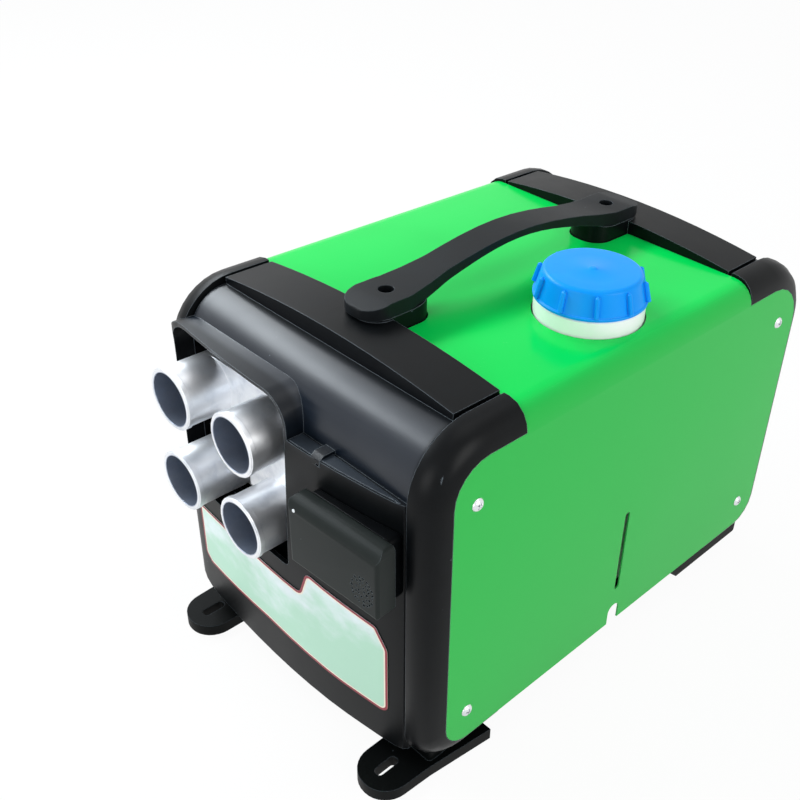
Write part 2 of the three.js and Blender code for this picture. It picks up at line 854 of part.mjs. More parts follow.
function fuelTank() {
  const walls = [tankLeft, tankRight, tankFront, tankRear, tankBottom, tankTop];
  const inset = walls.map((value, i) => value + (i % 2 ? -tankWall : tankWall));
  const neck = spin([
    [0, tankTop - 3],
    [neckRadius - 3, tankTop - 3],
    [neckRadius - 3, coverTop - 6],
    [neckRadius, coverTop - 3],
    [neckRadius, neckTop - 1],
    [neckRadius - 1, neckTop],
    [neckThreadRadius, neckTop],
    [neckThreadRadius, neckTop + 3],
    [neckThreadRadius + 0.5, neckTop + 4],
    [neckThreadRadius, neckTop + 5],
    [neckThreadRadius, neckTop + 7],
    [neckThreadRadius + 0.5, neckTop + 8],
    [neckThreadRadius, neckTop + 9],
    [neckThreadRadius, neckThreadTop],
    [0, neckThreadTop],
  ], 30).translate([tankNeckX, tankNeckY, 0]);
  const spigot = rod("x", fuelLineStart[1], fuelLineStart[2], 2.4, tankLeft - 7, tankLeft + 1, 12);
  return cut(
    join(roundedBox(...walls, 10), neck, spigot),
    roundedBox(...inset, 8),
    rod("z", tankNeckX, tankNeckY, neckThreadRadius - 3, tankTop - 8, neckThreadTop + 1, 32),
    rod("x", fuelLineStart[1], fuelLineStart[2], 1.3, tankLeft - 8, tankLeft + 5, 10),
  );
}

const capBase = neckTop + gap;

function fuelCap() {
  const base = 35.6;
  const top = capBase + fuelCapHeight;
  const inner = neckThreadRadius + 0.9;
  const shell = spin([
    [inner, capBase],
    [base + 0.6, capBase],
    [base + 0.6, capBase + 1.8],
    [base - 0.6, capBase + 2.4],
    [fuelCapTopRadius + 0.6, top - 3],
    [fuelCapTopRadius - 0.3, top - 0.9],
    [fuelCapTopRadius - 2.6, top],
    [3, top],
    [2.6, top + 0.7],
    [0, top + 0.9],
    [0, top - 3],
    [inner, top - 3],
  ], 30);
  const lean = Math.atan2(base - fuelCapTopRadius, fuelCapHeight);
  const ribs = [];
  for (let k = 0; k < fuelCapRibs; k++) {
    const rib = extrude("z", rectangle(-1.7, 1.7, -1.5, 1.5, 1.2, 3), 1, fuelCapHeight - 2.6)
      .rotate([-lean / turn, 0, 0])
      .translate([0, -base + 0.6, capBase])
      .rotate([0, 0, (k * 360) / fuelCapRibs + fuelCapTurn]);
    ribs.push(rib);
  }
  return join(shell, ...ribs).translate([tankNeckX, tankNeckY, 0]);
}

function fuelCapSeal() {
  const bottom = neckThreadTop + gap;
  const top = capBase + fuelCapHeight - 3 - gap;
  return tube("z", tankNeckX, tankNeckY, neckThreadRadius, neckThreadRadius - 5, bottom, top, 32);
}

// The casting with the four outlets: tubes, a web plate between them and a square plenum behind
function outletManifold() {
  const plenum = ductSize / 2 - ductWall - gap;
  const plenumFront = 20;
  const wallThick = 3;
  const [x, z] = [outletX, outletZ];
  const shell = extrude("y", rectangle(x - plenum, x + plenum, z - plenum, z + plenum, 6), plenumFront, castingRear);
  const room = plenum - wallThick;
  const hollow = extrude("y", rectangle(x - room, x + room, z - room, z + room, 4), plenumFront + wallThick, castingRear + 1);
  const tubes = outletCentres.map(([u, v]) => rod("y", u, v, tubeRadius, -tubeReach, plenumFront + 1));
  const beads = outletCentres.map(([u, v]) => rod("y", u, v, tubeRadius + tubeBead, -tubeReach + 0.6, -tubeReach + 4));
  const bores = outletCentres.map(([u, v]) => rod("y", u, v, tubeRadius - tubeWall, -tubeReach - 1, plenumFront + 5));
  const pitch = tubePitch / 2;
  const rise = tubeRise / 2;
  const web = extrude("y", outline([
    [x, z - rise],
    [x + room, z - rise],
    [x + room, z + rise + tubeRadius],
    [x - pitch, z + rise + tubeRadius],
    [x - pitch, z],
    [x, z],
  ]), castingFront, castingFront + 4);
  return cut(join(shell, ...tubes, ...beads, web), hollow, ...bores);
}

// The duct is a trough with feet, closed by a lid of the same shape
function ductShell(side) {
  const outer = ductSize / 2;
  const inner = outer - ductWall;
  const [x, z] = [outletX, outletZ];
  const square = rectangle(x - outer, x + outer, z - outer, z + outer, 8);
  const shell = extrude("y", square, ductFront, ductRear, [rectangle(x - inner, x + inner, z - inner, z + inner, 6)]);
  const level = z + (side * gap) / 2;
  const kept = side > 0 ? [level, z + outer + 1] : [z - outer - 1, level];
  return shell.intersect(box(x - outer - 1, x + outer + 1, ductFront - 1, ductRear + 1, ...kept));
}

function heaterDuct() {
  const outer = ductSize / 2;
  const [x, z] = [outletX, outletZ];
  const legs = [56, 256].flatMap((y) => [
    box(x - outer + 1, x - outer + 4, y, y + 22, basePlateTop + gap, z - outer + 6),
    box(x + outer - 4, x + outer - 1, y, y + 22, basePlateTop + gap, z - outer + 6),
  ]);
  return cut(
    join(ductShell(-1), ...legs),
    ...pipePlaces.map((y) => rod("z", x, y, stubRadius + 0.6, z - outer - 1, z - outer + ductWall + 1, 20)),
    rod("z", x, burnerLineY, 5, z - outer - 1, z - outer + ductWall + 1, 14),
  );
}

// A finned drum; no fins stand below, where the two stubs come in
function heatExchanger() {
  const [x, z] = [outletX, outletZ];
  const drum = rod("y", x, z, burnerRadius, exchangerFront, exchangerRear, 32);
  const bore = rod("y", x, z, burnerRadius - 6, exchangerFront + 6, exchangerRear + 1, 28);
  const fins = [];
  for (let angle = -45; angle <= 225; angle += 18) {
    const fin = box(burnerRadius - 2, finReach, exchangerFront + 4, exchangerRear - 6, -1.4, 1.4);
    fins.push(fin.rotate([0, -angle, 0]).translate([x, 0, z]));
  }
  const ports = pipePlaces.map((y) => rod("z", x, y, stubRadius - 2, z - burnerRadius - 1, z - 20, 16));
  return cut(join(drum, ...fins), bore, ...ports);
}

function exchangerStub(y) {
  const bottom = outletZ - ductSize / 2 - stubReach;
  return tube("z", outletX, y, stubRadius, stubRadius - 2, bottom, outletZ - burnerRadius - gap, 20);
}

function glowPlug() {
  const [x, z] = [outletX, outletZ];
  return join(
    rod("z", x, exchangerRear + 10, 4, z + burnerRadius + gap, z + burnerRadius + plugReach, 14),
    rod("z", x, exchangerRear + 10, 6.5, z + burnerRadius + 3, z + burnerRadius + 7, 6),
  );
}

function combustionFan() {
  const disc = rod("y", 0, 0, 30, 0, 2, 30);
  const blades = [];
  for (let k = 0; k < 12; k++) {
    blades.push(box(12, 29, -0.8, 0.8, -7, 1).rotate([90, 0, 0]).rotate([0, 25 + k * 30, 0]));
  }
  const hub = rod("y", 0, 0, 8, -7, 0.5, 20);
  const wheel = cut(join(disc, hub, ...blades), rod("y", 0, 0, shaftRadius - 0.4, -9, 4, 14));
  return wheel.translate([outletX, combustionFanY, outletZ]);
}

function airFan() {
  const blades = [];
  for (let k = 0; k < 7; k++) {
    const blade = box(12, 50, -11, 11, -0.9, 0.9).rotate([32, 0, 0]);
    blades.push(blade.rotate([0, (k * 360) / 7, 0]));
  }
  const hub = rod("y", 0, 0, 15, -8, 8, 28);
  const trimmed = join(...blades).intersect(rod("y", 0, 0, 50, -14, 14, 40));
  const wheel = cut(join(hub, trimmed), rod("y", 0, 0, shaftRadius - 0.4, -9, 9, 14));
  return wheel.translate([outletX, airFanY, outletZ]);
}

function blowerMotor() {
  const [x, z] = [outletX, outletZ];
  const inner = ductSize / 2 - ductWall - gap;
  const can = rod("y", x, z, 24, motorFront, motorFront + motorLength, 32);
  const flange = rod("y", x, z, burnerRadius, motorFront - 2, motorFront + 3);
  const ring = tube("y", x, z, burnerRadius, burnerRadius - 3, exchangerRear + gap, motorFront);
  const spokes = [
    box(x - inner, x + inner, motorFront - 1, motorFront + 2, z - 5, z + 5),
    box(x - 5, x + 5, motorFront - 1, motorFront + 2, z, z + inner),
  ];
  const body = join(can, flange, ring, ...spokes);
  return cut(body, rod("y", x, z, shaftRadius + 0.4, motorFront - 5, motorFront + motorLength + 5, 14));
}

function intakeGrille() {
  const outer = grilleRadius - gap;
  const back = rearFace - 5;
  const front = rearFace - 2;
  const [x, z] = [outletX, outletZ];
  const rings = [outer, 37, 20].map((radius) => tube("y", x, z, radius, radius - 2.4, back, front));
  const spokes = [0, 60, 120].map((angle) =>
    box(-outer + 1, outer - 1, -1.2, 1.2, -1.5, 1.5).rotate([90, angle, 0]).translate([x, (back + front) / 2, z]));
  return join(...rings, ...spokes);
}

function controlBoard() {
  const bottom = outletZ + ductSize / 2 + gap;
  const top = bottom + 5;
  const posts = [[-1, 5], [1, 5], [-1, 75], [1, 75]].map(([side, y]) =>
    rod("z", side * (boardWidth / 2 - 4), y, 3, bottom, top + 0.5, 10));
  const parts = [
    box(-30, -6, 12, 32, top + 1, top + 9),
    box(2, 20, 14, 40, top + 1, top + 4),
    rod("z", 28, 26, 5, top + 1, top + 12, 16),
    rod("z", 28, 42, 5, top + 1, top + 12, 16),
    box(-32, 10, 62, 74, top + 1, top + 11),
  ];
  const board = box(-boardWidth / 2, boardWidth / 2, 0, boardLength, top, top + 1.6);
  return join(board, ...posts, ...parts).translate([outletX - 5.5, boardStart, 0]);
}

function downPipe(y) {
  return tube("z", outletX, y, pipeRadius, stubRadius + gap, pipeBottom, outletZ - ductSize / 2 - 4, 20);
}

function fuelPump() {
  const [x, y, z] = pumpStart;
  const end = y + pumpLength;
  return cut(
    join(
      rod("y", x, z, 2.4, y - 8, y + 1, 12),
      rod("y", x, z, 8, y, y + 14, 20),
      rod("y", x, z, pumpRadius, y + 12, end - 12, 28),
      rod("y", x, z, 9, end - 13, end, 6),
      rod("y", x, z, 2.4, end - 1, end + 8, 12),
      box(x - 12, x + 12, y + 30, y + 56, basePlateTop + gap, z - 8),
    ),
    rod("y", x, z, 1.2, y - 9, y + 5, 8),
    rod("y", x, z, 1.2, end - 5, end + 9, 8),
  );
}

function fuelFilter() {
  const [x, y, z] = filterStart;
  const long = filterLength;
  const profile = [[0, -8], [2.4, -8], [2.4, 0], [8, 3], [8, long - 4], [2.4, long], [2.4, long + 8], [0, long + 8]];
  return spin(profile, 18).rotate([-90, 0, 0]).translate([x, y, z]);
}

// A solid hose along a smooth curve through points
function hose(points) {
  const curve = new THREE.CatmullRomCurve3(points.map((point) => new THREE.Vector3(...point)), false, "centripetal");
  const steps = 18;
  const frames = curve.computeFrenetFrames(steps);
  const rings = [];
  for (let k = 0; k <= steps; k++) {
    const centre = curve.getPointAt(k / steps);
    const ring = [];
    for (let j = 0; j < 8; j++) {
      const angle = (j / 8) * Math.PI * 2;
      const arm = frames.normals[k].clone().multiplyScalar(Math.cos(angle) * hoseRadius);
      ring.push(arm.addScaledVector(frames.binormals[k], Math.sin(angle) * hoseRadius).add(centre));
    }
    rings.push(ring);
  }
  return loft(rings);
}

function hoses() {
  const [px, py, pz] = pumpStart;
  const [fx, fy, fz] = filterStart;
  const [sx, sy, sz] = fuelLineStart;
  const end = py + pumpLength;
  return [
    [[sx - 8.4, sy, sz], [sx - 18, sy, sz], [fx + 6, fy - 28, fz], [fx, fy - 18, fz], [fx, fy - 8.4, fz]],
    [
      [fx, fy + filterLength + 8.4, fz],
      [fx, fy + filterLength + 18, fz],
      [fx - 14, fy + filterLength + 26, fz],
      [px + 16, py - 30, pz],
      [px, py - 20, pz],
      [px, py - 8.4, pz],
    ],
    [
      [px, end + 8.8, pz],
      [px, end + 18, pz + 2],
      [px + 12, end + 26, pz + 22],
      [outletX, burnerLineY + 20, outletZ - ductSize / 2 - 15.2],
      [outletX, burnerLineY + 2, outletZ - ductSize / 2 - 3.2],
      [outletX, burnerLineY, outletZ - ductSize / 2 + 4],
      [outletX, burnerLineY, outletZ - burnerRadius - gap],
    ],
  ].map((points, i) => mesh(`fuel_hose_${i + 1}`, hose(points), darkRubber));
}

// The controller is made about the back of its cradle and turned into place
function inPlace(body) {
  return body.rotate([0, 0, controllerTurn]).translate([controllerX, controllerY, controllerZ]);
}

function controllerCradle() {
  const front = -cradleThick;
  const plate = extrude("y", rectangle(-32, 32, -23, 23, 4), front, 8);
  const rail = join(box(-6, 6, front - 1.7, front + 1, -18, 14), box(-9, 9, front - 3.2, front - 1.6, -18, 14));
  const clear = bulgePanel().translate([0, -gap, 0]);
  const behind = box(20, 120, -2, 30, 100, 240);
  return cut(inPlace(join(plate, rail)), clear, behind);
}

function controllerCase() {
  const back = -cradleThick - gap;
  const front = back - controllerThick + 1.8;
  const wide = controllerWidth / 2;
  const high = controllerHeight / 2;
  const round = controllerRound;
  const body = extrude("y", rectangle(-wide, wide, -high, high, 5), front, back)
    .intersect(extrude("x", outline([[front, -high, round], [back, -high], [back, high], [front, high, round]]), -wide, wide))
    .intersect(extrude("z", outline([[-wide, front, round], [wide, front, round], [wide, back], [-wide, back]]), -high, high));
  const slot = join(
    box(-6.4, 6.4, back - 1.6, back + 1, -high - 1, 14.4),
    box(-9.4, 9.4, back - 3.6, back - 1, -high - 1, 14.4),
  );
  return inPlace(cut(body, slot));
}

function controllerFace() {
  const back = -cradleThick - gap - controllerThick + 1.8 - gap;
  const wide = controllerWidth / 2 - controllerRound;
  const high = controllerHeight / 2 - controllerRound;
  return inPlace(extrude("y", rectangle(-wide, wide, -high, high, 1.5), back - 1.5, back));
}

function frontLabel() {
  const skin = cut(bulgePanel().translate([0, -gap - 0.3, 0]), bulgePanel().translate([0, -gap, 0]));
  return skin.intersect(extrude("y", outline(labelCorners), -20, -2));
}

function powerInlet() {
  const y = rearFace - 2;
  return cut(
    join(
      rod("y", inletX, inletZ, inletRadius, y - inletDepth, y + 0.5, 24),
      rod("y", inletX, inletZ, inletRadius + 3, y + gap, y + 1.8, 24),
    ),
    rod("y", inletX, inletZ, inletRadius - 2.5, y - inletDepth + 4, y + 3, 24),
    rod("y", inletX - 4, inletZ, 1.6, y - inletDepth - 2, y - inletDepth + 6, 12),
    rod("y", inletX + 4, inletZ, 1.6, y - inletDepth - 2, y - inletDepth + 6, 12),
  );
}

function inletPin(side) {
  return rod("y", inletX + 4 * side, inletZ, 1.3, rearFace - inletDepth - 4, rearFace - inletDepth - 4 + pinReach, 12);
}

const part = new THREE.Group();
part.name = "air_heater";
part.position.y = -centreY;
part.add(
  mesh("front_cap", frontCap(), blackPlastic),
  mesh("rear_cap", rearCap(), blackPlastic),
  mesh("cover", coverSheet(), greenPaint),
  mesh("base_plate", basePlate(), darkSteel),
  mesh("foot_front_right", frontFoot(1), footPlastic),
  mesh("foot_front_left", frontFoot(-1), footPlastic),
  mesh("foot_rear_right", rearFoot(1), footPlastic),
  mesh("foot_rear_left", rearFoot(-1), footPlastic),
  mesh("carry_handle", carryHandle(), grainedPlastic),
  ...handleScrews(),
  ...coverScrews(),
  mesh("fuel_tank", fuelTank(), whitePlastic),
  mesh("fuel_cap", fuelCap(), bluePlastic),
  mesh("fuel_cap_seal", fuelCapSeal(), redRubber),
  mesh("outlet_manifold", outletManifold(), castAluminium),
  mesh("heater_duct", heaterDuct(), blackPlastic),
  mesh("heater_duct_lid", ductShell(1), blackPlastic),
  mesh("heat_exchanger", heatExchanger(), castAluminium),
  mesh("exhaust_stub", exchangerStub(pipePlaces[0]), castAluminium),
  mesh("combustion_intake_stub", exchangerStub(pipePlaces[1]), castAluminium),
  mesh("glow_plug", glowPlug(), brass),
  mesh("combustion_fan", combustionFan(), castAluminium),
  mesh("blower_motor", blowerMotor(), darkSteel),
  mesh("motor_shaft", rod("y", outletX, outletZ, shaftRadius - 0.7, combustionFanY - 8, airFanY + 12, 14), steel),
  mesh("air_fan", airFan(), blackPlastic),
  mesh("intake_grille", intakeGrille(), blackPlastic),
  mesh("control_board", controlBoard(), boardGreen),
  mesh("exhaust_pipe", downPipe(pipePlaces[0]), steel),
  mesh("combustion_intake_pipe", downPipe(pipePlaces[1]), blackPlastic),
  mesh("fuel_pump", fuelPump(), steel),
  mesh("fuel_filter", fuelFilter(), clearAmber),
  ...hoses(),
  mesh("controller_case", controllerCase(), blackPlastic),
  mesh("controller_face", controllerFace(), glassFace),
  mesh("controller_cradle", controllerCradle(), blackPlastic),
  mesh("front_label", frontLabel(), labelPrint),
  mesh("power_inlet", powerInlet(), blackPlastic),
  mesh("inlet_pin_1", inletPin(-1), brass),
  mesh("inlet_pin_2", inletPin(1), brass),
);

export default part;
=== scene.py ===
# Portable diesel air heater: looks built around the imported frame
import bpy, bmesh
import json
import math
from mathutils import Matrix, Vector


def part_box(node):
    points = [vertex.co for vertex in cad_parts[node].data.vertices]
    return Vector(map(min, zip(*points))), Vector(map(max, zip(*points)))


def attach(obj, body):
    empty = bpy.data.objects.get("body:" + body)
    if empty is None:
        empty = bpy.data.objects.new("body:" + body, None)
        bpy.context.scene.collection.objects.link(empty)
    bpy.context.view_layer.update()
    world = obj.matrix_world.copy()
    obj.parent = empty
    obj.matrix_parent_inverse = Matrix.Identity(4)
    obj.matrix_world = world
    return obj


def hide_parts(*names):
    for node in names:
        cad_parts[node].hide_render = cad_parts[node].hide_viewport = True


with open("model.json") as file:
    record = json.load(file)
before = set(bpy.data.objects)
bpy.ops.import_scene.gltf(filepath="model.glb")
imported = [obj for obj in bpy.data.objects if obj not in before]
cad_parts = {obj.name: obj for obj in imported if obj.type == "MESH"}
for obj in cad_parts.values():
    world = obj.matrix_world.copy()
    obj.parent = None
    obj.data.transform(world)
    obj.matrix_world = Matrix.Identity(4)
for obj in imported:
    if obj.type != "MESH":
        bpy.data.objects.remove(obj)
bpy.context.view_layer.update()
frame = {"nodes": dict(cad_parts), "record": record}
scene = bpy.context.scene
mm = 0.001
frontFace = -167  # y of the case's front face plane in the frame, in millimetres
depthShift = frontFace * mm


def linear(hexColour):  # "#rrggbb" as written to Blender's own light values
    values = [int(hexColour[i:i + 2], 16) / 255 for i in (1, 3, 5)]
    return [v / 12.92 if v <= 0.04045 else ((v + 0.055) / 1.055) ** 2.4 for v in values] + [1.0]


# Materials
class Wire:  # a socket that takes part in Python sums
    def __init__(self, finish, socket):
        self.finish, self.socket = finish, socket

    def math(self, operation, *values):
        return self.finish.add("ShaderNodeMath", {"operation": operation}, dict(enumerate(values)))

    def __add__(self, other): return self.math("ADD", self, other)
    def __sub__(self, other): return self.math("SUBTRACT", self, other)
    def __rsub__(self, other): return self.math("SUBTRACT", other, self)
    def __mul__(self, other): return self.math("MULTIPLY", self, other)
    def __truediv__(self, other): return self.math("DIVIDE", self, other)
    def __pow__(self, other): return self.math("POWER", self, other)
    def __abs__(self): return self.math("ABSOLUTE", self)
    __radd__ = __add__
    __rmul__ = __mul__

    def step(self, low, high):  # 0 below low, 1 above high, smooth between
        return self.finish.add("ShaderNodeMapRange", {"interpolation_type": "SMOOTHSTEP"},
                               {"Value": self, "From Min": low, "From Max": high})

    def swing(self, amount):  # a pattern's rise and fall about its middle
        return (self - 0.5) * amount


class Finish:  # one material, with its patterns sized in millimetres
    def __init__(self, name, colour, roughness, metallic=0.0, **constants):
        self.material = bpy.data.materials.new(name)
        self.material.use_nodes = True
        self.tree = self.material.node_tree
        self.shader = self.tree.nodes["Principled BSDF"]
        self.colour, self.roughness = linear(colour), roughness
        self.set("Base Color", self.colour)
        self.set("Roughness", roughness)
        self.set("Metallic", metallic)
        for key, value in constants.items():
            self.set(key.replace("_", " "), value)

    def add(self, kind, settings=None, values=None, output=0):
        node = self.tree.nodes.new(kind)
        for key, value in (settings or {}).items():
            setattr(node, key, value)
        for key, value in (values or {}).items():
            if isinstance(value, Wire):
                self.tree.links.new(value.socket, node.inputs[key])
            else:
                node.inputs[key].default_value = value
        return Wire(self, node.outputs[output])

    def set(self, name, value):
        if isinstance(value, Wire):
            self.tree.links.new(value.socket, self.shader.inputs[name])
        else:
            self.shader.inputs[name].default_value = value

    def place(self):
        return self.add("ShaderNodeTexCoord", output="Object")

    def axes(self):  # x, y and z of the place, in millimetres
        node = self.tree.nodes.new("ShaderNodeSeparateXYZ")
        self.tree.links.new(self.place().socket, node.inputs[0])
        return [Wire(self, out) * 1000 for out in node.outputs]

    def spread(self, size, stretch):
        scale = [1000 / size * s for s in stretch]
        return self.add("ShaderNodeMapping", None, {"Vector": self.place(), "Scale": scale})

    def noise(self, size, detail=3.0, roughness=0.55, stretch=(1, 1, 1)):
        values = {"Vector": self.spread(size, stretch), "Scale": 1.0}
        values.update({"Detail": detail, "Roughness": roughness})
        return self.add("ShaderNodeTexNoise", {"noise_dimensions": "3D"}, values)

    def cells(self, size):  # distance to the nearest cell centre
        values = {"Vector": self.spread(size, (1, 1, 1)), "Scale": 1.0}
        return self.add("ShaderNodeTexVoronoi", None, values, "Distance")

    def mix(self, share, first, second):
        return self.add("ShaderNodeMix", {"data_type": "RGBA"}, {0: share, 6: first, 7: second}, 2)

    def rounded(self, radius):  # soft edges in the shading
        return self.add("ShaderNodeBevel", {"samples": 6}, {"Radius": radius * mm})

    def edges(self, radius):  # 1 along hard edges
        flat = self.add("ShaderNodeNewGeometry", output="Normal")
        values = {0: self.rounded(radius), 1: flat}
        alike = self.add("ShaderNodeVectorMath", {"operation": "DOT_PRODUCT"}, values, "Value")
        return (1 - alike).step(0.02, 0.2)

    def specks(self, size, share):  # sparse small dots
        return (1 - self.cells(size).step(0.03, 0.06)) * self.noise(size * 3, 1).step(share, share + 0.04)

    def relief(self, height, depth, below=None):  # height 0..1, depth in millimetres
        values = {"Height": height, "Distance": depth * mm, "Strength": 1.0}
        if below:
            values["Normal"] = below
        return self.add("ShaderNodeBump", None, values)


# What all moulded plastics share: pattern sizes in millimetres, and how much each pattern shows
moulding = {"blotch": 42, "haze": 11, "tintShare": 0.35, "blotchShine": 0.12, "hazeShine": 0.08,
            "speck": 9, "speckStart": 0.6, "speckShare": 0.6, "coarser": 7, "fineShare": 0.7}


def mouldedTint(f, haze, tint):
    return f.mix(haze.step(0.35, 0.8) * moulding["tintShare"], f.colour, linear(tint))


def mouldedEdgeSheenAndScuffs(f, shade, edgeSheenAndScuffColour, edge, edgeSheenShare):  # painted highlights and rubbed wear along the edges, and a few scuffs
    # the edges are lightened: partly rubbed wear, partly a painted highlight along them
    shade = f.mix(f.edges(edge) * edgeSheenShare, shade, linear(edgeSheenAndScuffColour))
    scuffs = f.specks(moulding["speck"], moulding["speckStart"])
    return f.mix(scuffs * moulding["speckShare"], shade, linear(edgeSheenAndScuffColour))


def mouldedSkin(f, blotch, haze, grain, depth, edge):  # uneven shine and fine grain
    shine = f.roughness + blotch.swing(moulding["blotchShine"])
    f.set("Roughness", shine + haze.swing(moulding["hazeShine"]))
    fine, coarse = f.noise(grain, 2), f.noise(grain * moulding["coarser"], 2)
    height = fine * moulding["fineShare"] + coarse * (1 - moulding["fineShare"])
    f.set("Normal", f.relief(height, depth, f.rounded(edge)))


def mouldedPlastic(name, colour, roughness, tint, grain=0.6, depth=0.012, edge=0.5, edgeSheenAndScuffColour=None, edgeSheenShare=0.6,
                   **constants):
    f = Finish(name, colour, roughness, **constants)
    blotch, haze = f.noise(moulding["blotch"], 2), f.noise(moulding["haze"], 4)
    shade = mouldedTint(f, haze, tint)
    if edgeSheenAndScuffColour:
        shade = mouldedEdgeSheenAndScuffs(f, shade, edgeSheenAndScuffColour, edge, edgeSheenShare)
    f.set("Base Color", shade)
    mouldedSkin(f, blotch, haze, grain, depth, edge)
    return f.material


# The caps' black, with the satin front of the hood and a bluish painted sheen in its colour there; places in
# millimetres, y from the front face plane
hood = {"above": (214, 224), "behind": (14, 34), "beside": (101, 106), "before": (-4, 2), "frontShare": 0.4,
        "colour": "#0e1824", "coat": 0.66, "coatSwing": 0.4, "edge": 0.7, "edgeSheenShare": 0.75}


def blackMoulding(name, colour, roughness, tint, edgeSheenAndScuffColour, grain=0.6, depth=0.01, edge=0.5):
    f = Finish(name, colour, roughness, Specular_IOR_Level=0.12, Coat_Roughness=0.34)
    x, y, z = f.axes()
    blotch, haze = f.noise(moulding["blotch"], 2), f.noise(moulding["haze"], 4)
    satinAndPaintedSheen = z.step(*hood["above"]) * (1 - (y - frontFace).step(*hood["behind"]))
    satinAndPaintedSheen = satinAndPaintedSheen * (1 - abs(x).step(*hood["beside"]))
    fade = (y - frontFace).step(*hood["before"])
    satinAndPaintedSheen = satinAndPaintedSheen * (hood["frontShare"] + fade * (1 - hood["frontShare"]))
    # painted sheen: the satin band of the hood is tinted bluish grey, standing in for its highlight
    shade = f.mix(satinAndPaintedSheen, mouldedTint(f, haze, tint), linear(hood["colour"]))
    f.set("Base Color", mouldedEdgeSheenAndScuffs(f, shade, edgeSheenAndScuffColour, hood["edge"], hood["edgeSheenShare"]))
    f.set("Coat Weight", satinAndPaintedSheen * (hood["coat"] + blotch.swing(hood["coatSwing"])))
    mouldedSkin(f, blotch, haze, grain, depth, edge)
    return f.material


# The green sheet: its bend from top to sides, where the sides take a duller green as painted shade, and its
# cut edges a pale painted highlight; pattern sizes in millimetres, and how much each one shows
sheet = {"bend": (111, 124), "paintedSideShade": "#2fb94e", "sideShine": 0.1, "roughness": 0.24,
         "cloud": 110, "cloudColour": "#02cd51", "cloudShare": 0.5, "cloudShine": 0.1,
         "dust": 2.6, "dustColour": "#7fe0a0", "dustShare": 0.12,
         "edge": 0.35, "edgeHighlightColour": "#a9f2b8", "edgeHighlightShare": 0.8, "ripple": 3.4, "rippleDepth": 0.008}


def enamel(name, colour):
    f = Finish(name, colour, sheet["roughness"], Specular_IOR_Level=0.1, Coat_Weight=0.08,
               Coat_Roughness=0.08)
    side = abs(f.axes()[0]).step(*sheet["bend"])
    cloud, dust = f.noise(sheet["cloud"], 2), f.noise(sheet["dust"], 3)
    top = f.mix(cloud.step(0.35, 0.7) * sheet["cloudShare"], f.colour, linear(sheet["cloudColour"]))
    # painted shade: past the bend the sides take a duller green
    shade = f.mix(side, top, linear(sheet["paintedSideShade"]))
    shade = f.mix(dust.step(0.68, 0.8) * sheet["dustShare"], shade, linear(sheet["dustColour"]))
    # painted highlight: a pale green along the sheet's cut edges
    shade = f.mix(f.edges(sheet["edge"]) * sheet["edgeHighlightShare"], shade, linear(sheet["edgeHighlightColour"]))
    f.set("Base Color", shade)
    f.set("Roughness", f.roughness + side * sheet["sideShine"] + cloud.swing(sheet["cloudShine"]))
    f.set("Normal", f.relief(f.noise(sheet["ripple"], 2), sheet["rippleDepth"], f.rounded(sheet["edge"])))
    return f.material


# The four hot-air tubes: centre of the group, spacing across and up, and radius inside, in millimetres
outlets = {"x": -54.5, "z": 172.2, "pitch": 65, "rise": 63.3, "bore": 18.2, "mouth": 0.4}
# The metals: pattern sizes in millimetres, and how much each one shows
patina = {"stain": 14, "stainShare": 0.45, "stainShine": 0.3, "cloud": 34, "cloudShare": 0.25,
          "boreShadeShare": 0.8, "boreShadeSwing": 0.5, "coarser": 6, "fineShare": 0.6,
          "lines": 0.7, "lineStretch": (1, 0.02, 1), "edge": 0.5}


def boreMask(f):  # 1 inside the tubes
    x, y, z = f.axes()
    across = abs(abs(x - outlets["x"]) - outlets["pitch"] / 2)
    up = abs(abs(z - outlets["z"]) - outlets["rise"] / 2)
    return 1 - ((across * across + up * up) ** 0.5).step(outlets["bore"], outlets["bore"] + outlets["mouth"])


def castMetal(name, colour, roughness, dark, grain=0.9, depth=0.05, drawn=0.0, metallic=1.0, bore=None):
    f = Finish(name, colour, roughness, metallic)
    stain, cloud = f.noise(patina["stain"], 4), f.noise(patina["cloud"], 2)
    shade = f.mix(stain.step(0.45, 0.75) * patina["stainShare"], f.colour, linear(dark))
    shade = f.mix(cloud.step(0.4, 0.7) * patina["cloudShare"], shade, linear(dark))
    if bore:  # painted shade: the tubes are darker inside
        inside = boreMask(f) * (patina["boreShadeShare"] + stain.swing(patina["boreShadeSwing"]))
        shade = f.mix(inside, shade, linear(bore))
    f.set("Base Color", shade)
    f.set("Roughness", f.roughness + stain.swing(patina["stainShine"]))
    fine, coarse = f.noise(grain, 3), f.noise(grain * patina["coarser"], 3)
    height = fine * patina["fineShare"] + coarse * (1 - patina["fineShare"])
    if drawn:  # fine lines along the pull direction
        height = height * (1 - drawn) + f.noise(patina["lines"], 2, stretch=patina["lineStretch"]) * drawn
    f.set("Normal", f.relief(height, depth, f.rounded(patina["edge"])))
    return f.material


# The label's print: pale clouds that turn green from one height down to another, a little lower to the left
clouds = {"large": 40, "largeStretch": (0.8, 1, 1.6), "small": 13, "smallShare": 0.3,
          "fade": (52, 108), "lean": 0.12, "fadeShare": 0.5, "start": 0.35, "range": (0.2, 0.62),
          "gloss": 20, "glossSwing": 0.1, "weave": 1.6, "weaveDepth": 0.004}


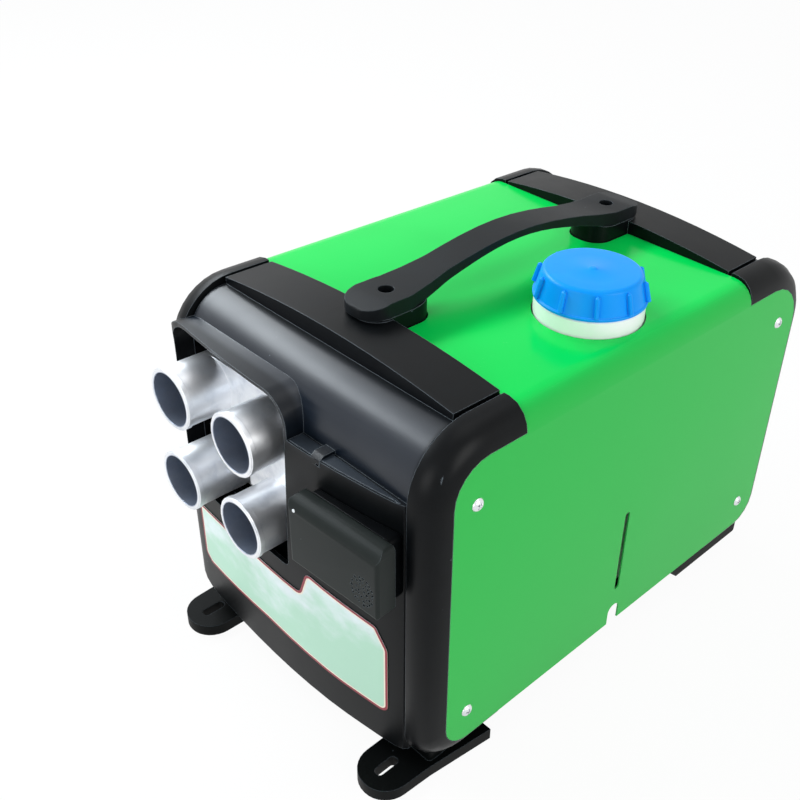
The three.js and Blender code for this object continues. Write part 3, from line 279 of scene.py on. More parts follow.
def labelPrint(name, pale, green, roughness):
    f = Finish(name, pale, roughness, Specular_IOR_Level=0.25)
    x, y, z = f.axes()
    cloud = f.noise(clouds["large"], 4, stretch=clouds["largeStretch"])
    cloud = cloud + f.noise(clouds["small"], 3) * clouds["smallShare"]
    lower = 1 - (z - x * clouds["lean"]).step(*clouds["fade"])
    share = (cloud + lower * clouds["fadeShare"] - clouds["start"]).step(*clouds["range"])
    f.set("Base Color", f.mix(share, f.colour, linear(green)))
    f.set("Roughness", f.roughness + f.noise(clouds["gloss"], 2).swing(clouds["glossSwing"]))
    f.set("Normal", f.relief(f.noise(clouds["weave"], 2), clouds["weaveDepth"]))
    return f.material


def frosted(name, colour, roughness, tint, blotch, grain, glow=4):  # glow: how deep light goes in
    depth = glow * mm
    f = Finish(name, colour, roughness, Subsurface_Weight=0.15, Subsurface_Radius=(depth, depth, depth),
               Specular_IOR_Level=0.3)
    f.set("Base Color", f.mix(f.noise(blotch, 3).step(0.4, 0.8) * 0.3, f.colour, linear(tint)))
    f.set("Normal", f.relief(f.noise(grain, 2), 0.01, f.rounded(0.5)))
    return f.material


# One finish for each material slot; grain, depth and edge are in millimetres
finishes = {
    "black_plastic": blackMoulding("blackMoulding", "#07090b", 0.36, "#0d1114", edgeSheenAndScuffColour="#7d8890"),
    "grained_plastic": mouldedPlastic("handleGrain", "#0b0f12", 0.5, "#161c21", grain=0.8, depth=0.07,
                                      edge=0.9, edgeSheenAndScuffColour="#6a747b", Specular_IOR_Level=0.16),
    "foot_plastic": mouldedPlastic("footMoulding", "#040606", 0.5, "#080a0b", grain=0.9, depth=0.03,
                                   edge=0.8, edgeSheenAndScuffColour="#59636a", Specular_IOR_Level=0.08),
    "green_paint": enamel("greenEnamel", "#00da57"),
    # bore: the colour of the painted shade inside the tubes
    "cast_aluminium": castMetal("castAluminium", "#f6f8fb", 0.38, "#b4bcc8", drawn=0.35, metallic=0.85,
                                bore="#8f9cb2"),
    "steel": castMetal("zincSteel", "#e6e9ec", 0.24, "#b9bec4", grain=0.7, depth=0.01),
    "dark_steel": mouldedPlastic("blackSteel", "#050607", 0.45, "#0b0d0f", Specular_IOR_Level=0.15),
    "white_plastic": frosted("tankWhite", "#fdfefe", 0.38, "#f3f7f8", blotch=20, grain=1.1),
    "blue_plastic": mouldedPlastic("capBlue", "#0097f8", 0.34, "#06a2fb", grain=0.8, depth=0.01,
                                   edgeSheenAndScuffColour="#7fcdfd", Specular_IOR_Level=0.16),
    "red_rubber": mouldedPlastic("sealRubber", "#a33a2c", 0.7, "#b14a3b"),
    "dark_rubber": mouldedPlastic("hoseRubber", "#141415", 0.7, "#1c1c1d"),
    "glass_face": mouldedPlastic("controllerShell", "#1d2221", 0.42, "#252a28", grain=0.5, depth=0.02,
                                 edge=0.6, edgeSheenAndScuffColour="#7d8890", Specular_IOR_Level=0.13),
    "label_print": labelPrint("labelFoil", "#e4eef0", "#b4dcc4", 0.3),
    "board": mouldedPlastic("boardGreen", "#1d6b3c", 0.5, "#24783f"),
    "brass": castMetal("brass", "#c7a254", 0.3, "#8f7136", grain=0.7, depth=0.01),
    "clear_amber": mouldedPlastic("amber", "#d9c98c", 0.3, "#cdbb7a"),
}
# Finishes of the small pieces that no slot has
crimson = mouldedPlastic("labelCrimson", "#8c1c30", 0.4, "#9c2c3f", grain=0.8, depth=0.003)
cream = mouldedPlastic("labelCream", "#f0e3cf", 0.35, "#f5ecdd", grain=0.8, depth=0.003)
# painted shade: the walls of the sound holes are near black
pitShadeBlack = mouldedPlastic("pitShadeBlack", "#020203", 0.6, "#050506", Specular_IOR_Level=0.13)
# painted highlight: the ledge strip's lighter grey and very light edges stand in for light on the ledge
ledgeLitGrey = mouldedPlastic("ledgeLitGrey", "#262d35", 0.45, "#2e363f", grain=0.5, depth=0.02, edge=0.8,
                            edgeSheenAndScuffColour="#b4bec5", edgeSheenShare=1.0, Specular_IOR_Level=0.2)
# painted glint: a near-white dot on the controller's face
glintWhite = mouldedPlastic("glintWhite", "#e9edf0", 0.2, "#ffffff", grain=0.8, depth=0.003)
print("finishes made")

slotOf = {row["node"]: row["material_slot"] for row in frame["record"]["subparts"]}
bodyOf = {node: body for body, nodes in frame["record"]["behaviour"]["bodies"].items() for node in nodes}
done = set()  # CAD nodes that a dressed piece already stands for


# Shapes shared by the pieces
def linked(name, data):
    made = bpy.data.objects.new(name, data)
    scene.collection.objects.link(made)
    return made


def addPiece(name, data, materials, nodes):
    piece = linked(name, data)
    for material in materials:
        data.materials.append(material)
    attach(piece, bodyOf[nodes[0]])
    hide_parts(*nodes)
    done.update(nodes)
    return piece


def dressedForm(node, flat=0.4):  # a merged copy of a CAD node's mesh, flat faces joined
    form = bmesh.new()
    form.from_mesh(frame["nodes"][node].data)
    bmesh.ops.remove_doubles(form, verts=form.verts, dist=2e-6)
    bmesh.ops.dissolve_limit(form, angle_limit=math.radians(flat), verts=form.verts, edges=form.edges)
    return form


def markSharp(form, sharp=28):
    for face in form.faces:
        face.smooth = True
    for edge in form.edges:
        edge.smooth = len(edge.link_faces) == 2 and edge.calc_face_angle(0) < math.radians(sharp)


def asMesh(form, name, sharp=28):
    markSharp(form, sharp)
    made = bpy.data.meshes.new(name)
    form.to_mesh(made)
    form.free()
    return made


def bevelled(piece, width, segments=2, angle=30):
    bevel = piece.modifiers.new("softEdge", "BEVEL")
    bevel.width, bevel.segments = width * mm, segments
    bevel.limit_method, bevel.angle_limit = "ANGLE", math.radians(angle)
    bevel.harden_normals = True


def evaluated(piece):
    return bpy.data.meshes.new_from_object(piece.evaluated_get(bpy.context.evaluated_depsgraph_get()))


def settled(piece, sharp=None):  # its modifiers made part of its mesh
    made = evaluated(piece)
    piece.modifiers.clear()
    if sharp:
        form = bmesh.new()
        form.from_mesh(made)
        markSharp(form, sharp)
        form.to_mesh(made)
        form.free()
    made.name = piece.name + "Mesh"
    piece.data = made


def roundedOutline(corners, steps=8):  # (u, v, radius) corners, counter-clockwise
    points = []
    for k, (u, v, *radius) in enumerate(corners):
        here = Vector((u, v))
        if not radius:
            points.append(here)
            continue
        before, after = Vector(corners[k - 1][:2]), Vector(corners[(k + 1) % len(corners)][:2])
        back, ahead = (before - here).normalized(), (after - here).normalized()
        angle = back.angle(ahead)
        reach = radius[0] / math.tan(angle / 2)
        centre = here + (back + ahead).normalized() * (radius[0] / math.sin(angle / 2))
        first, last = here + back * reach - centre, here + ahead * reach - centre
        sweep = first.angle_signed(last)
        for j in range(steps + 1):
            turned = first.copy()
            turned.rotate(Matrix.Rotation(-sweep * j / steps, 2))
            points.append(centre + turned)
    return points


def prism(axis, points, start, end):  # an outline pulled along x, y or z, all in millimetres
    orders = {"x": lambda u, v, w: (w, u, v), "y": lambda u, v, w: (u, w, v), "z": lambda u, v, w: (u, v, w)}
    order = orders[axis]
    form = bmesh.new()
    ends = [[form.verts.new(Vector(order(p[0], p[1], w)) * mm) for p in points] for w in (start, end)]
    form.faces.new(ends[0])
    form.faces.new(list(reversed(ends[1])))
    for k in range(len(points)):
        a, b = k, (k + 1) % len(points)
        form.faces.new((ends[0][b], ends[0][a], ends[1][a], ends[1][b]))
    bmesh.ops.recalc_face_normals(form, faces=form.faces)
    return form


def lathe(profile, steps=96):  # (radius, height) pairs turned about z, closed
    form = bmesh.new()
    angles = [2 * math.pi * k / steps for k in range(steps)]
    rings = []
    for radius, height in profile:
        if radius < 1e-6:
            rings.append([form.verts.new((0, 0, height * mm))])
            continue
        spots = [(radius * math.cos(a) * mm, radius * math.sin(a) * mm, height * mm) for a in angles]
        rings.append([form.verts.new(spot) for spot in spots])
    for one, two in zip(rings, rings[1:] + rings[:1]):
        for k in range(steps):
            corners = [one[k % len(one)], one[(k + 1) % len(one)], two[(k + 1) % len(two)], two[k % len(two)]]
            corners = list(dict.fromkeys(corners))
            if len(corners) > 2:
                form.faces.new(corners)
    bmesh.ops.recalc_face_normals(form, faces=form.faces)
    return form


def shaped(base, operation, *tools):  # Boolean of bmesh forms, as one new form
    helpers = []
    for form in (base, *tools):
        data = bpy.data.meshes.new("tool")
        form.to_mesh(data)
        form.free()
        helpers.append(linked("tool", data))
    for helper in helpers[1:]:
        carve = helpers[0].modifiers.new("carve", "BOOLEAN")
        carve.operation, carve.object, carve.solver = operation, helper, "EXACT"
    form = bmesh.new()
    form.from_mesh(evaluated(helpers[0]))
    for gone in helpers:
        bpy.data.meshes.remove(gone.data)
    return form


# Geometry Nodes
class Grower:  # a node tree with named inputs
    def __init__(self, name, inputs):
        self.tree = bpy.data.node_groups.new(name, "GeometryNodeTree")
        face = self.tree.interface
        face.new_socket("Geometry", in_out="INPUT", socket_type="NodeSocketGeometry")
        face.new_socket("Geometry", in_out="OUTPUT", socket_type="NodeSocketGeometry")
        self.sizes = {}  # by the socket's identifier
        for key, value in inputs.items():
            kind = "NodeSocketInt" if isinstance(value, int) else "NodeSocketFloat"
            socket = face.new_socket(key, in_out="INPUT", socket_type=kind)
            socket.default_value = value
            self.sizes[socket.identifier] = value
        self.inputs = self.tree.nodes.new("NodeGroupInput")
        self.output = self.tree.nodes.new("NodeGroupOutput")

    def add(self, kind, settings=None, values=None, output=0):
        node = self.tree.nodes.new(kind)
        for key, value in (settings or {}).items():
            setattr(node, key, value)
        for key, value in (values or {}).items():
            if isinstance(value, bpy.types.NodeSocket):
                self.tree.links.new(value, node.inputs[key])
            else:
                node.inputs[key].default_value = value
        return node.outputs[output]

    def given(self, key):
        return self.inputs.outputs[key]

    def math(self, operation, a, b):
        return self.add("ShaderNodeMath", {"operation": operation}, {0: a, 1: b})

    def vector(self, x=0.0, y=0.0, z=0.0):
        return self.add("ShaderNodeCombineXYZ", None, {0: x, 1: y, 2: z})

    def joined(self, *parts):
        join = self.tree.nodes.new("GeometryNodeJoinGeometry")
        for part in parts:
            self.tree.links.new(part, join.inputs[0])
        return join.outputs[0]

    def finish(self, geometry, material):
        real = self.add("GeometryNodeRealizeInstances", None, {0: geometry})
        painted = self.add("GeometryNodeSetMaterial", None, {"Geometry": real, "Material": material})
        self.tree.links.new(painted, self.output.inputs[0])
        return self

    def grow(self, piece):
        modifier = piece.modifiers.new("grow", "NODES")
        modifier.node_group = self.tree
        for identifier, value in self.sizes.items():
            modifier[identifier] = value


def pointCloud(places, facings):  # a mesh of loose points, each with the direction it faces
    data = bpy.data.meshes.new("points")
    data.from_pydata([Vector(p) * mm for p in places], [], [])
    facing = data.attributes.new("facing", "FLOAT_VECTOR", "POINT")
    facing.data.foreach_set("vector", [v for f in facings for v in f])
    return data


# The screws, in millimetres: recess is half the cross's length, out is where the sheet's side stands
screws = {"headRadius": 4.2, "headHeight": 2.45, "recess": 2.2, "recessWidth": 0.95, "seed": 3,
          "rim": 0.7, "sides": 28, "sunk": 0.3, "out": 125.15}


def panHeads(material):  # a domed head with a cross recess on every point
    inputs = {"Head Radius": screws["headRadius"] * mm, "Head Height": screws["headHeight"] * mm,
              "Recess": screws["recess"] * mm, "Recess Width": screws["recessWidth"] * mm,
              "Seed": screws["seed"]}
    g = Grower("panHeads", inputs)
    radius, height, seed = g.given("Head Radius"), g.given("Head Height"), g.given("Seed")
    recess, width = g.given("Recess"), g.given("Recess Width")
    values = {"Segments": screws["sides"], "Rings": 20, "Radius": radius}
    ball = g.add("GeometryNodeMeshUVSphere", None, values)
    squat = g.vector(1.0, 1.0, g.math("DIVIDE", height, radius))
    dome = g.add("GeometryNodeTransform", None, {"Geometry": ball, "Scale": squat})
    values = {"Vertices": screws["sides"], "Radius": radius, "Depth": screws["rim"] * mm}
    rim = g.add("GeometryNodeMeshCylinder", {"fill_type": "NGON"}, values)
    block = 20 * mm  # takes off the ball's lower half
    below = g.add("GeometryNodeMeshCube", None, {"Size": (block, block, block)})
    drop = (0, 0, -block / 2 - screws["sunk"] * mm)
    below = g.add("GeometryNodeTransform", None, {"Geometry": below, "Translation": drop})
    span = g.math("MULTIPLY", recess, 2.0)
    bars = [g.add("GeometryNodeMeshCube", None, {"Size": size})
            for size in (g.vector(span, width, recess), g.vector(width, span, recess))]
    lift = g.vector(0.0, 0.0, height)
    bars = [g.add("GeometryNodeTransform", None, {"Geometry": bar, "Translation": lift}) for bar in bars]
    carve = g.tree.nodes.new("GeometryNodeMeshBoolean")
    carve.operation = "DIFFERENCE"
    g.tree.links.new(dome, carve.inputs[0])
    for tool in (*bars, below):
        g.tree.links.new(tool, carve.inputs[1])
    head = g.joined(carve.outputs[0], rim)
    spin = g.add("FunctionNodeRandomValue", {"data_type": "FLOAT"}, {2: 0.0, 3: 6.28, "Seed": seed}, 1)
    facing = g.add("GeometryNodeInputNamedAttribute", {"data_type": "FLOAT_VECTOR"}, {"Name": "facing"})
    upright = g.add("FunctionNodeAlignRotationToVector", {"axis": "Z"}, {"Vector": facing})
    about = g.add("FunctionNodeAxisAngleToRotation", None, {"Axis": (0, 0, 1), "Angle": spin})
    turned = g.add("FunctionNodeRotateRotation", {"rotation_space": "LOCAL"}, {0: upright, 1: about})
    values = {"Points": g.given("Geometry"), "Instance": head, "Rotation": turned}
    return g.finish(g.add("GeometryNodeInstanceOnPoints", None, values), material)


def addScrews():
    nodes = [f"cover_screw_{k}" for k in range(1, 9)]
    places, facings = [], []
    for node in nodes:
        lowest, highest = [Vector(v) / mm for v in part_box(node)]
        side = 1 if lowest.x > 0 else -1
        places.append((side * screws["out"], (lowest.y + highest.y) / 2, (lowest.z + highest.z) / 2))
        facings.append((side, 0, 0))
    piece = addPiece("coverScrews", pointCloud(places, facings), (), nodes)
    panHeads(finishes["steel"]).grow(piece)
    settled(piece, 35)


addScrews()
print("cover screws made")


# The fuel cap: a lathe-turned shell with ribs that stand proud of its side
fuelCap = {"x": 73.5, "y": frontFace + 177, "base": 273.0, "shoulder": 3.2,
           "ribs": 10, "ribTurn": 9, "ribWidth": 3.4, "ribDepth": 1.5,
           "ribBase": (35.4, 2.0), "ribTop": (31.8, 15.2),  # radius and height at each end
           "ribClose": 0.86, "ribCloseRate": 7.2}  # where along it a rib starts to close, and how fast


def capRibs(material):
    (baseRadius, baseHeight), (topRadius, topHeight) = fuelCap["ribBase"], fuelCap["ribTop"]
    inputs = {"Count": fuelCap["ribs"], "Base Radius": baseRadius * mm, "Top Radius": topRadius * mm,
              "Rib Width": fuelCap["ribWidth"] * mm, "Rib Depth": fuelCap["ribDepth"] * mm,
              "Low": baseHeight * mm, "High": topHeight * mm}
    g = Grower("capRibs", inputs)
    start = g.vector(g.given("Base Radius"), 0.0, g.given("Low"))
    end = g.vector(g.given("Top Radius"), 0.0, g.given("High"))
    along = g.add("GeometryNodeCurvePrimitiveLine", {"mode": "POINTS"}, {"Start": start, "End": end})
    along = g.add("GeometryNodeResampleCurve", None, {"Curve": along, "Count": 10})
    past = g.math("SUBTRACT", g.add("GeometryNodeSplineParameter"), fuelCap["ribClose"])
    past = g.add("ShaderNodeClamp", None, {"Value": g.math("MULTIPLY", past, fuelCap["ribCloseRate"])})
    left = g.math("SUBTRACT", 1.0, g.math("MULTIPLY", past, past))
    thickness = g.add("ShaderNodeMath", {"operation": "SQRT"}, {0: left})  # the top closes in a quarter round
    profile = g.add("GeometryNodeCurvePrimitiveCircle", None, {"Resolution": 18, "Radius": 1.0})
    size = g.vector(g.given("Rib Depth"), g.math("MULTIPLY", g.given("Rib Width"), 0.5), 1.0)
    profile = g.add("GeometryNodeTransform", None, {"Geometry": profile, "Scale": size})
    along = g.add("GeometryNodeSetCurveNormal", None, {"Curve": along})
    values = {"Curve": along, "Profile Curve": profile, "Scale": thickness, "Fill Caps": True}
    rib = g.add("GeometryNodeCurveToMesh", None, values)
    ring = g.add("GeometryNodeMeshCircle", None, {"Vertices": g.given("Count"), "Radius": mm})
    turns = g.math("DIVIDE", g.add("GeometryNodeInputIndex"), g.given("Count"))
    angle = g.math("MULTIPLY", turns, 2 * math.pi)
    centre = g.add("GeometryNodeSetPosition", None, {"Geometry": ring, "Position": (0, 0, 0)})
    values = {"Points": centre, "Instance": rib, "Rotation": g.vector(0.0, 0.0, angle)}
    spots = g.add("GeometryNodeInstanceOnPoints", None, values)
    return g.finish(g.joined(spots, g.given("Geometry")), material)


def addFuelCap():
    profile = [(28.9, -0.7), (35.9, -0.7), (36.15, -0.45), (36.2, 0.9), (35.9, 1.2), (35.1, 1.5)]  # skirt
    profile += [(34.9 - 3.1 * k / 6, 2.2 + 12.2 * k / 6) for k in range(7)]  # side
    shoulder = fuelCap["shoulder"]
    for k in range(1, 9):
        angle = math.radians(8 + 82 * k / 8)
        profile.append((28.6 + shoulder * math.cos(angle), 14.2 + shoulder * math.sin(angle) * 0.95))
    profile += [(20, 17.35), (3.2, 17.45), (2.8, 17.6), (2.2, 18.1), (1.2, 18.2), (0, 18.2)]  # top with a pip
    profile += [(0, 14.2), (28.9, 14.2)]  # inside
    piece = addPiece("fuelCap", asMesh(lathe(profile, 120), "fuelCapMesh", 40), (), ["fuel_cap"])
    capRibs(finishes["blue_plastic"]).grow(piece)
    settled(piece, 40)
    turned = Matrix.Rotation(math.radians(fuelCap["ribTurn"] - 90), 4, "Z")
    place = Vector((fuelCap["x"], fuelCap["y"], fuelCap["base"])) * mm
    piece.data.transform(Matrix.Translation(place) @ turned)


addFuelCap()
print("fuel cap made")


# The controller: one shell with a broad round along its top edge, and a field of small sound holes
controller = {
    "x": 69.6, "y": frontFace - 9.4, "z": 177, "turn": 3,
    "back": -5.3, "front": -18.6, "wide": 36.7, "high": 23.9,
    "topRound": 9.5, "backRound": 1.5, "round": 3.2, "cornerRound": 4.5,
    "railTop": 14.4, "rail": [(-1.6, 1, 6.4), (-3.6, -1, 9.4)],  # depth from, depth to, half width
    "holes": (24.5, -8), "holeField": (8.5, 10),
    "holeSpacing": 2.1, "holeRadius": 0.75, "holeDepth": 3, "holeScale": (0.7, 1.2), "seed": 4,
    "lamp": (-30.5, 16.6), "lampRadius": 1.15, "lampFlat": 0.55, "lampProud": 0.25,
}


def soundHoles(material):  # short pins scattered over a face, to be cut out of it
    inputs = {"Spacing": controller["holeSpacing"] * mm, "Radius": controller["holeRadius"] * mm,
              "Depth": controller["holeDepth"] * mm, "Seed": controller["seed"]}
    g = Grower("soundHoles", inputs)
    values = {"Mesh": g.given("Geometry"), "Distance Min": g.given("Spacing"), "Density Max": 900000.0,
              "Seed": g.given("Seed")}
    spots = g.add("GeometryNodeDistributePointsOnFaces", {"distribute_method": "POISSON"}, values)
    values = {"Vertices": 8, "Radius": g.given("Radius"), "Depth": g.given("Depth")}
    pin = g.add("GeometryNodeMeshCylinder", {"fill_type": "NGON"}, values)
    lying = g.add("GeometryNodeTransform", None, {"Geometry": pin, "Rotation": (math.pi / 2, 0, 0)})
    least, most = controller["holeScale"]
    values = {2: least, 3: most, "Seed": g.given("Seed")}
    size = g.add("FunctionNodeRandomValue", {"data_type": "FLOAT"}, values, 1)
    values = {"Points": spots, "Instance": lying, "Scale": size}
    return g.finish(g.add("GeometryNodeInstanceOnPoints", None, values), material)


def controllerBlank():  # the block that its three outlines have in common
    c = controller
    wide, high, front, back = c["wide"], c["high"], c["front"], c["back"]
    signs = ((-1, -1), (1, -1), (1, 1), (-1, 1))
    face = roundedOutline([(u * wide, v * high, c["cornerRound"]) for u, v in signs])
    low, top = (front, -high, c["round"]), (front, high, c["topRound"])
    side = roundedOutline([low, (back, -high), (back, high, c["backRound"]), top], 12)
    left, right = (-wide, front, c["round"]), (wide, front, c["round"])
    plan = roundedOutline([left, right, (wide, back), (-wide, back)])
    along, upright = prism("x", side, -wide - 1, wide + 1), prism("z", plan, -high - 1, high + 1)
    return shaped(prism("y", face, front, back), "INTERSECT", along, upright)


def soundPits():  # the pins for the sound holes, as one form
    (u, v), (halfWide, halfHigh) = controller["holes"], controller["holeField"]
    patch = bmesh.new()
    angles = [math.pi * k / 12 for k in range(24)]
    oval = [(u + halfWide * math.cos(a), controller["front"], v + halfHigh * math.sin(a)) for a in angles]
    patch.faces.new([patch.verts.new(Vector(spot) * mm) for spot in oval])
    field = linked("soundHoleField", asMesh(patch, "soundHoleField"))
    soundHoles(pitShadeBlack).grow(field)
    settled(field)
    pits = bmesh.new()
    pits.from_mesh(field.data)
    bpy.data.objects.remove(field)
    return pits


def addController():
    c = controller
    bottom = -c["high"] - 1
    rails = []
    for near, far, half in c["rail"]:
        inner, outer = c["back"] + near, c["back"] + far
        outline = [(inner, bottom), (outer, bottom), (outer, c["railTop"]), (inner, c["railTop"])]
        rails.append(prism("x", outline, -half, half))
    form = shaped(controllerBlank(), "DIFFERENCE", *rails, soundPits())
    turned = Matrix.Rotation(math.radians(c["turn"]), 4, "Z")
    place = Matrix.Translation(Vector((c["x"], c["y"], c["z"])) * mm) @ turned
    form.transform(place)
    addPiece("controllerShell", asMesh(form, "controllerShellMesh", 24), [finishes["glass_face"]],
             ["controller_case", "controller_face"])
    # a small near-white dome on the face, a painted glint
    dot = bmesh.new()
    bmesh.ops.create_uvsphere(dot, u_segments=20, v_segments=12, radius=c["lampRadius"] * mm)
    bmesh.ops.scale(dot, verts=dot.verts, vec=(1, c["lampFlat"], 1))
    spot = Vector((c["lamp"][0], c["front"] + c["lampProud"], c["lamp"][1])) * mm
    bmesh.ops.translate(dot, verts=dot.verts, vec=spot)
    dot.transform(place)
    lamp = linked("controllerLamp", asMesh(dot, "controllerLampMesh", 60))
    lamp.data.materials.append(glintWhite)
    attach(lamp, "controller")


addController()
print("controller made")


# The printed label: a thin skin that follows the bulge, with a two-colour border
label = {
    "corners": [(-104, 57, 5), (-96, 51.5, 6), (-72, 52), (-21, 54.3), (50, 50.3), (91, 49.3, 6),
                (91, 104, 8), (82, 118.7, 4), (23.4, 124.9, 6), (15.9, 104, 6), (-28, 104.3), (-75, 102.8),
                (-104, 101.5, 4)],
    "bulge": [(103.8, 0.4), (101.6, -2.4), (96, -4.2), (84, -6.2), (70, -8), (55, -9.8), (39, -11.2),
              (20, -12.1), (0, -12.4), (-20, -12.1), (-40, -11.3), (-60, -10.1), (-80, -8.5), (-97, -6.9),
              (-110, -5.4), (-115, -4.1)],  # x and y of the panel's front, from the right
    "borders": [(0, 1.8, 0.05), (1.8, 2.9, 0.03)],  # inset from, inset to, proud of the print
    "off": 0.52,  # from the bulged panel to the print's front
    "thick": 0.2,
    "strip": 4,  # longest run of the outline and of the skin without a bend
}


def bulgeAt(x):  # y of the bulged panel's front, in millimetres
    points = label["bulge"]
    for (x1, y1), (x0, y0) in zip(points, points[1:]):
        if x0 <= x <= x1:
            return y0 + (y1 - y0) * (x - x0) / (x1 - x0)
    return points[0][1] if x > 0 else points[-1][1]


def offsetOutline(points, inset):  # each point moved inwards along its corner's middle line
    moved = []
    for k, here in enumerate(points):
        back = (here - points[k - 1]).normalized()
        ahead = (points[(k + 1) % len(points)] - here).normalized()
        normal = Vector((-back.y - ahead.y, back.x + ahead.x)).normalized()
        lean = max(0.4, normal.dot(Vector((-ahead.y, ahead.x))))  # keeps a sharp corner's point near
        moved.append(here + normal * inset / lean)
    return moved


def fineOutline(points, longest):
    fine = []
    for k, here in enumerate(points):
        after = points[(k + 1) % len(points)]
        count = max(1, math.ceil((after - here).length / longest))
        fine += [here.lerp(after, j / count) for j in range(count)]
    return fine


def ontoBulge(form, proud=0.0):  # laid on the panel, facing forwards
    for vert in form.verts:
        vert.co.y = (bulgeAt(vert.co.x / mm) - label["off"] - proud) * mm + depthShift
    bmesh.ops.recalc_face_normals(form, faces=form.faces)
    if sum(face.normal.y for face in form.faces) > 0:
        bmesh.ops.reverse_faces(form, faces=form.faces)


def labelSkin(outline):
    form = bmesh.new()
    form.faces.new([form.verts.new((p.x * mm, 0, p.y * mm)) for p in outline])
    for k in range(-100, 92, label["strip"]):
        whole = form.verts[:] + form.edges[:] + form.faces[:]
        bmesh.ops.bisect_plane(form, geom=whole, plane_co=(k * mm, 0, 0), plane_no=(1, 0, 0))
    ontoBulge(form)
    back = bmesh.ops.extrude_face_region(form, geom=form.faces[:])
    for vert in [v for v in back["geom"] if isinstance(v, bmesh.types.BMVert)]:
        vert.co.y += label["thick"] * mm
    bmesh.ops.recalc_face_normals(form, faces=form.faces)
    return form


def labelBorder(outline, outer, inner, proud, materialIndex):
    strip = bmesh.new()
    rings = [[strip.verts.new((p.x * mm, 0, p.y * mm)) for p in offsetOutline(outline, inset)]
             for inset in (outer, inner)]
    for k in range(len(outline)):
        after = (k + 1) % len(outline)
        face = strip.faces.new((rings[0][k], rings[0][after], rings[1][after], rings[1][k]))
        face.material_index = materialIndex
    ontoBulge(strip, proud)
    data = bpy.data.meshes.new("labelBorder")
    strip.to_mesh(data)
    strip.free()
    return data


def addLabel():
    outline = fineOutline(roundedOutline(label["corners"], 6), label["strip"])
    form = labelSkin(outline)
    for k, (outer, inner, proud) in enumerate(label["borders"]):
        form.from_mesh(labelBorder(outline, outer, inner, proud, k + 1))
    addPiece("frontLabel", asMesh(form, "frontLabelMesh", 40), [finishes["label_print"], crimson, cream],
             ["front_label"])


addLabel()
print("label made")


# The ledge beside the visor: a thin moulded strip that narrows to a rounded tip, lighter grey with very light
# edges as a painted highlight
ledge = {"z": 219, "below": 0.4, "above": 0.7, "inset": 0.9, "round": 0.35, "frontAt": range(14, 97, 4),
         "tip": [(98.6, -3.7), (99.4, -2.9), (98.8, -2.2)], "behind": [(96, -1.9), (60, -1.6), (13.8, -1.4)]}


def addLedge():
    front = [(x, bulgeAt(x) + ledge["inset"]) for x in ledge["frontAt"]]
    outline = front + ledge["tip"] + ledge["behind"]
    form = prism("z", outline, ledge["z"] - ledge["below"], ledge["z"] + ledge["above"])
    bmesh.ops.translate(form, verts=form.verts, vec=(0, depthShift, 0))
    strip = linked("ledgeStrip", asMesh(form, "ledgeStripMesh"))
    strip.data.materials.append(ledgeLitGrey)
    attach(strip, bodyOf["front_cap"])
    bevelled(strip, ledge["round"], 3)
    settled(strip)


addLedge()
print("ledge made")


# Every other piece: a merged copy of its CAD mesh, with real soft edges where a width and segments stand here
softEdges = {
    "front_cap": (0.5, 2), "rear_cap": (0.5, 2), "cover": (0.22, 2), "carry_handle": (1.1, 3),
    "foot_front_left": (0.9, 3), "foot_front_right": (0.9, 3),
    "foot_rear_left": (0.9, 3), "foot_rear_right": (0.9, 3),
    "outlet_manifold": (0.35, 2), "controller_cradle": (0.5, 2), "fuel_tank": (0.6, 2),
    "power_inlet": (0.3, 2), "intake_grille": (0.3, 2),
}
for node in frame["nodes"]:
    if node in done:
        continue
    data = asMesh(dressedForm(node), node + "Mesh")
    piece = addPiece(node + "Dressed", data, [finishes[slotOf[node]]], [node])
    if node in softEdges:
        bevelled(piece, *softEdges[node])
print("other pieces dressed")


# Camera at the photograph's viewing angle
view = {
    "place": Vector((421.463, -290.864, 569.48)) * mm + Vector((0, depthShift, 0)),
    "azimuth": math.radians(41.087),
    "elevation": math.radians(33.579),
    "roll": math.radians(4.077),
    "lens": 47.0043,
    "shift": (-0.13641, 0.01017),
}


def addCamera():
    azimuth, elevation, roll = view["azimuth"], view["elevation"], view["roll"]
    level = math.cos(elevation)
    back = Vector((math.sin(azimuth) * level, -math.cos(azimuth) * level, math.sin(elevation)))
    right = Vector((0, 0, 1)).cross(back).normalized()
    up = back.cross(right)
    tilted = math.cos(roll) * right + math.sin(roll) * up
    upright = math.cos(roll) * up - math.sin(roll) * right
    data = bpy.data.cameras.new("camera")
    data.lens, data.sensor_width = view["lens"], 36
    data.shift_x, data.shift_y = view["shift"]
    data.clip_start, data.clip_end = 0.01, 50
    camera = linked("camera", data)
    turned = Matrix((tilted, upright, back)).transposed().to_4x4()
    turned.translation = view["place"]
    camera.matrix_world = turned
    scene.camera = camera


studio = {
    "sky": (0.92, 0.96, 1.0, 1), "skyStrength": 0.42, "floorWhite": 0.95, "floorReach": 6,
    "aim": (0, 0, 0.15),  # where every lamp points, in metres
    "lamps": {
        "strip": {"place": (-1.25, -0.3, 1.25), "size": (1.7, 0.3), "power": 29, "colour": (0.88, 0.95, 1)},
        "overhead": {"place": (0.2, 0.3, 1.9), "size": (1.2, 1.2), "power": 5, "colour": (1, 1, 1)},
        "right": {"place": (1.9, 0.1, 0.9), "size": (1.0, 1.0), "power": 14, "colour": (1, 0.99, 0.97)},
        "front": {"place": (0.3, -1.9, 0.7), "size": (1.0, 0.8), "power": 8, "colour": (1, 1, 1)},
    },
}


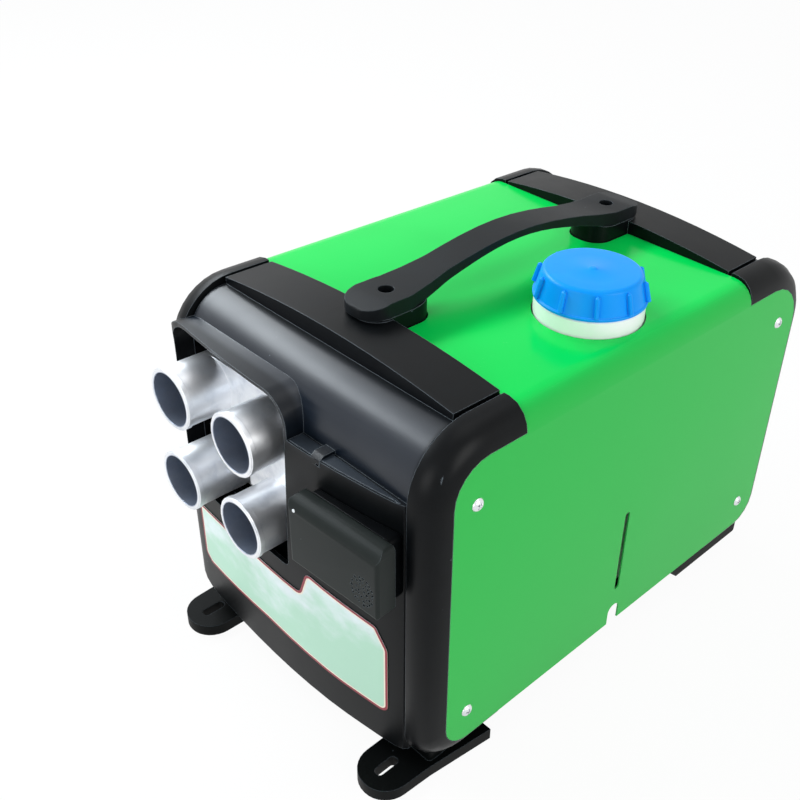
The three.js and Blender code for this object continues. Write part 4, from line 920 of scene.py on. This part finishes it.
def addLamp(name, place, size, power, colour):
    data = bpy.data.lights.new(name, "AREA")
    data.shape, data.size, data.size_y = "RECTANGLE", size[0], size[1]
    data.energy, data.color = power, colour
    lamp = linked(name, data)
    lamp.location = place
    lamp.rotation_mode = "QUATERNION"
    lamp.rotation_quaternion = (Vector(studio["aim"]) - Vector(place)).to_track_quat("-Z", "Y")


def seenShare(tree, most):  # how far camera, mirror and glass rays see plain white
    def combined(operation, first, second):
        node = tree.nodes.new("ShaderNodeMath")
        node.operation = operation
        tree.links.new(first, node.inputs[0])
        if isinstance(second, float):
            node.inputs[1].default_value = second
        else:
            tree.links.new(second, node.inputs[1])
        return node.outputs[0]
    path = tree.nodes.new("ShaderNodeLightPath").outputs
    seen = combined("MAXIMUM", path["Is Camera Ray"], path["Is Glossy Ray"])
    seen = combined("MAXIMUM", seen, path["Is Transmission Ray"])
    return combined("MULTIPLY", seen, most)


def whitened(tree, plain, white, most, output):  # plain for light on the heater, white for what is seen
    mixed = tree.nodes.new("ShaderNodeMixShader")
    tree.links.new(seenShare(tree, most), mixed.inputs[0])
    tree.links.new(plain.outputs[0], mixed.inputs[1])
    tree.links.new(white.outputs[0], mixed.inputs[2])
    tree.links.new(mixed.outputs[0], tree.nodes[output].inputs["Surface"])


def addSky():
    world = bpy.data.worlds.new("studio")
    scene.world = world
    world.use_nodes = True
    tree = world.node_tree
    sky = tree.nodes["Background"]
    sky.inputs["Color"].default_value = studio["sky"]
    sky.inputs["Strength"].default_value = studio["skyStrength"]
    white = tree.nodes.new("ShaderNodeBackground")
    white.inputs["Color"].default_value = (1, 1, 1, 1)
    whitened(tree, sky, white, 1.0, "World Output")


def addFloor():
    data = bpy.data.meshes.new("floor")
    reach = studio["floorReach"]
    corners = [(-reach, -reach, 0), (reach, -reach, 0), (reach, reach, 0), (-reach, reach, 0)]
    data.from_pydata(corners, [], [(0, 1, 2, 3)])
    floor = linked("floor", data)
    pale = bpy.data.materials.new("paleFloor")
    pale.use_nodes = True
    shader = pale.node_tree.nodes["Principled BSDF"]
    shader.inputs["Base Color"].default_value = (0.9, 0.9, 0.9, 1)
    shader.inputs["Roughness"].default_value = 0.9
    glow = pale.node_tree.nodes.new("ShaderNodeEmission")
    whitened(pale.node_tree, shader, glow, studio["floorWhite"], "Material Output")
    data.materials.append(pale)


addCamera()
scene.view_settings.view_transform = "Standard"
addSky()
addFloor()
for name, lamp in studio["lamps"].items():
    addLamp(name, **lamp)
print("camera, lamps and floor placed")
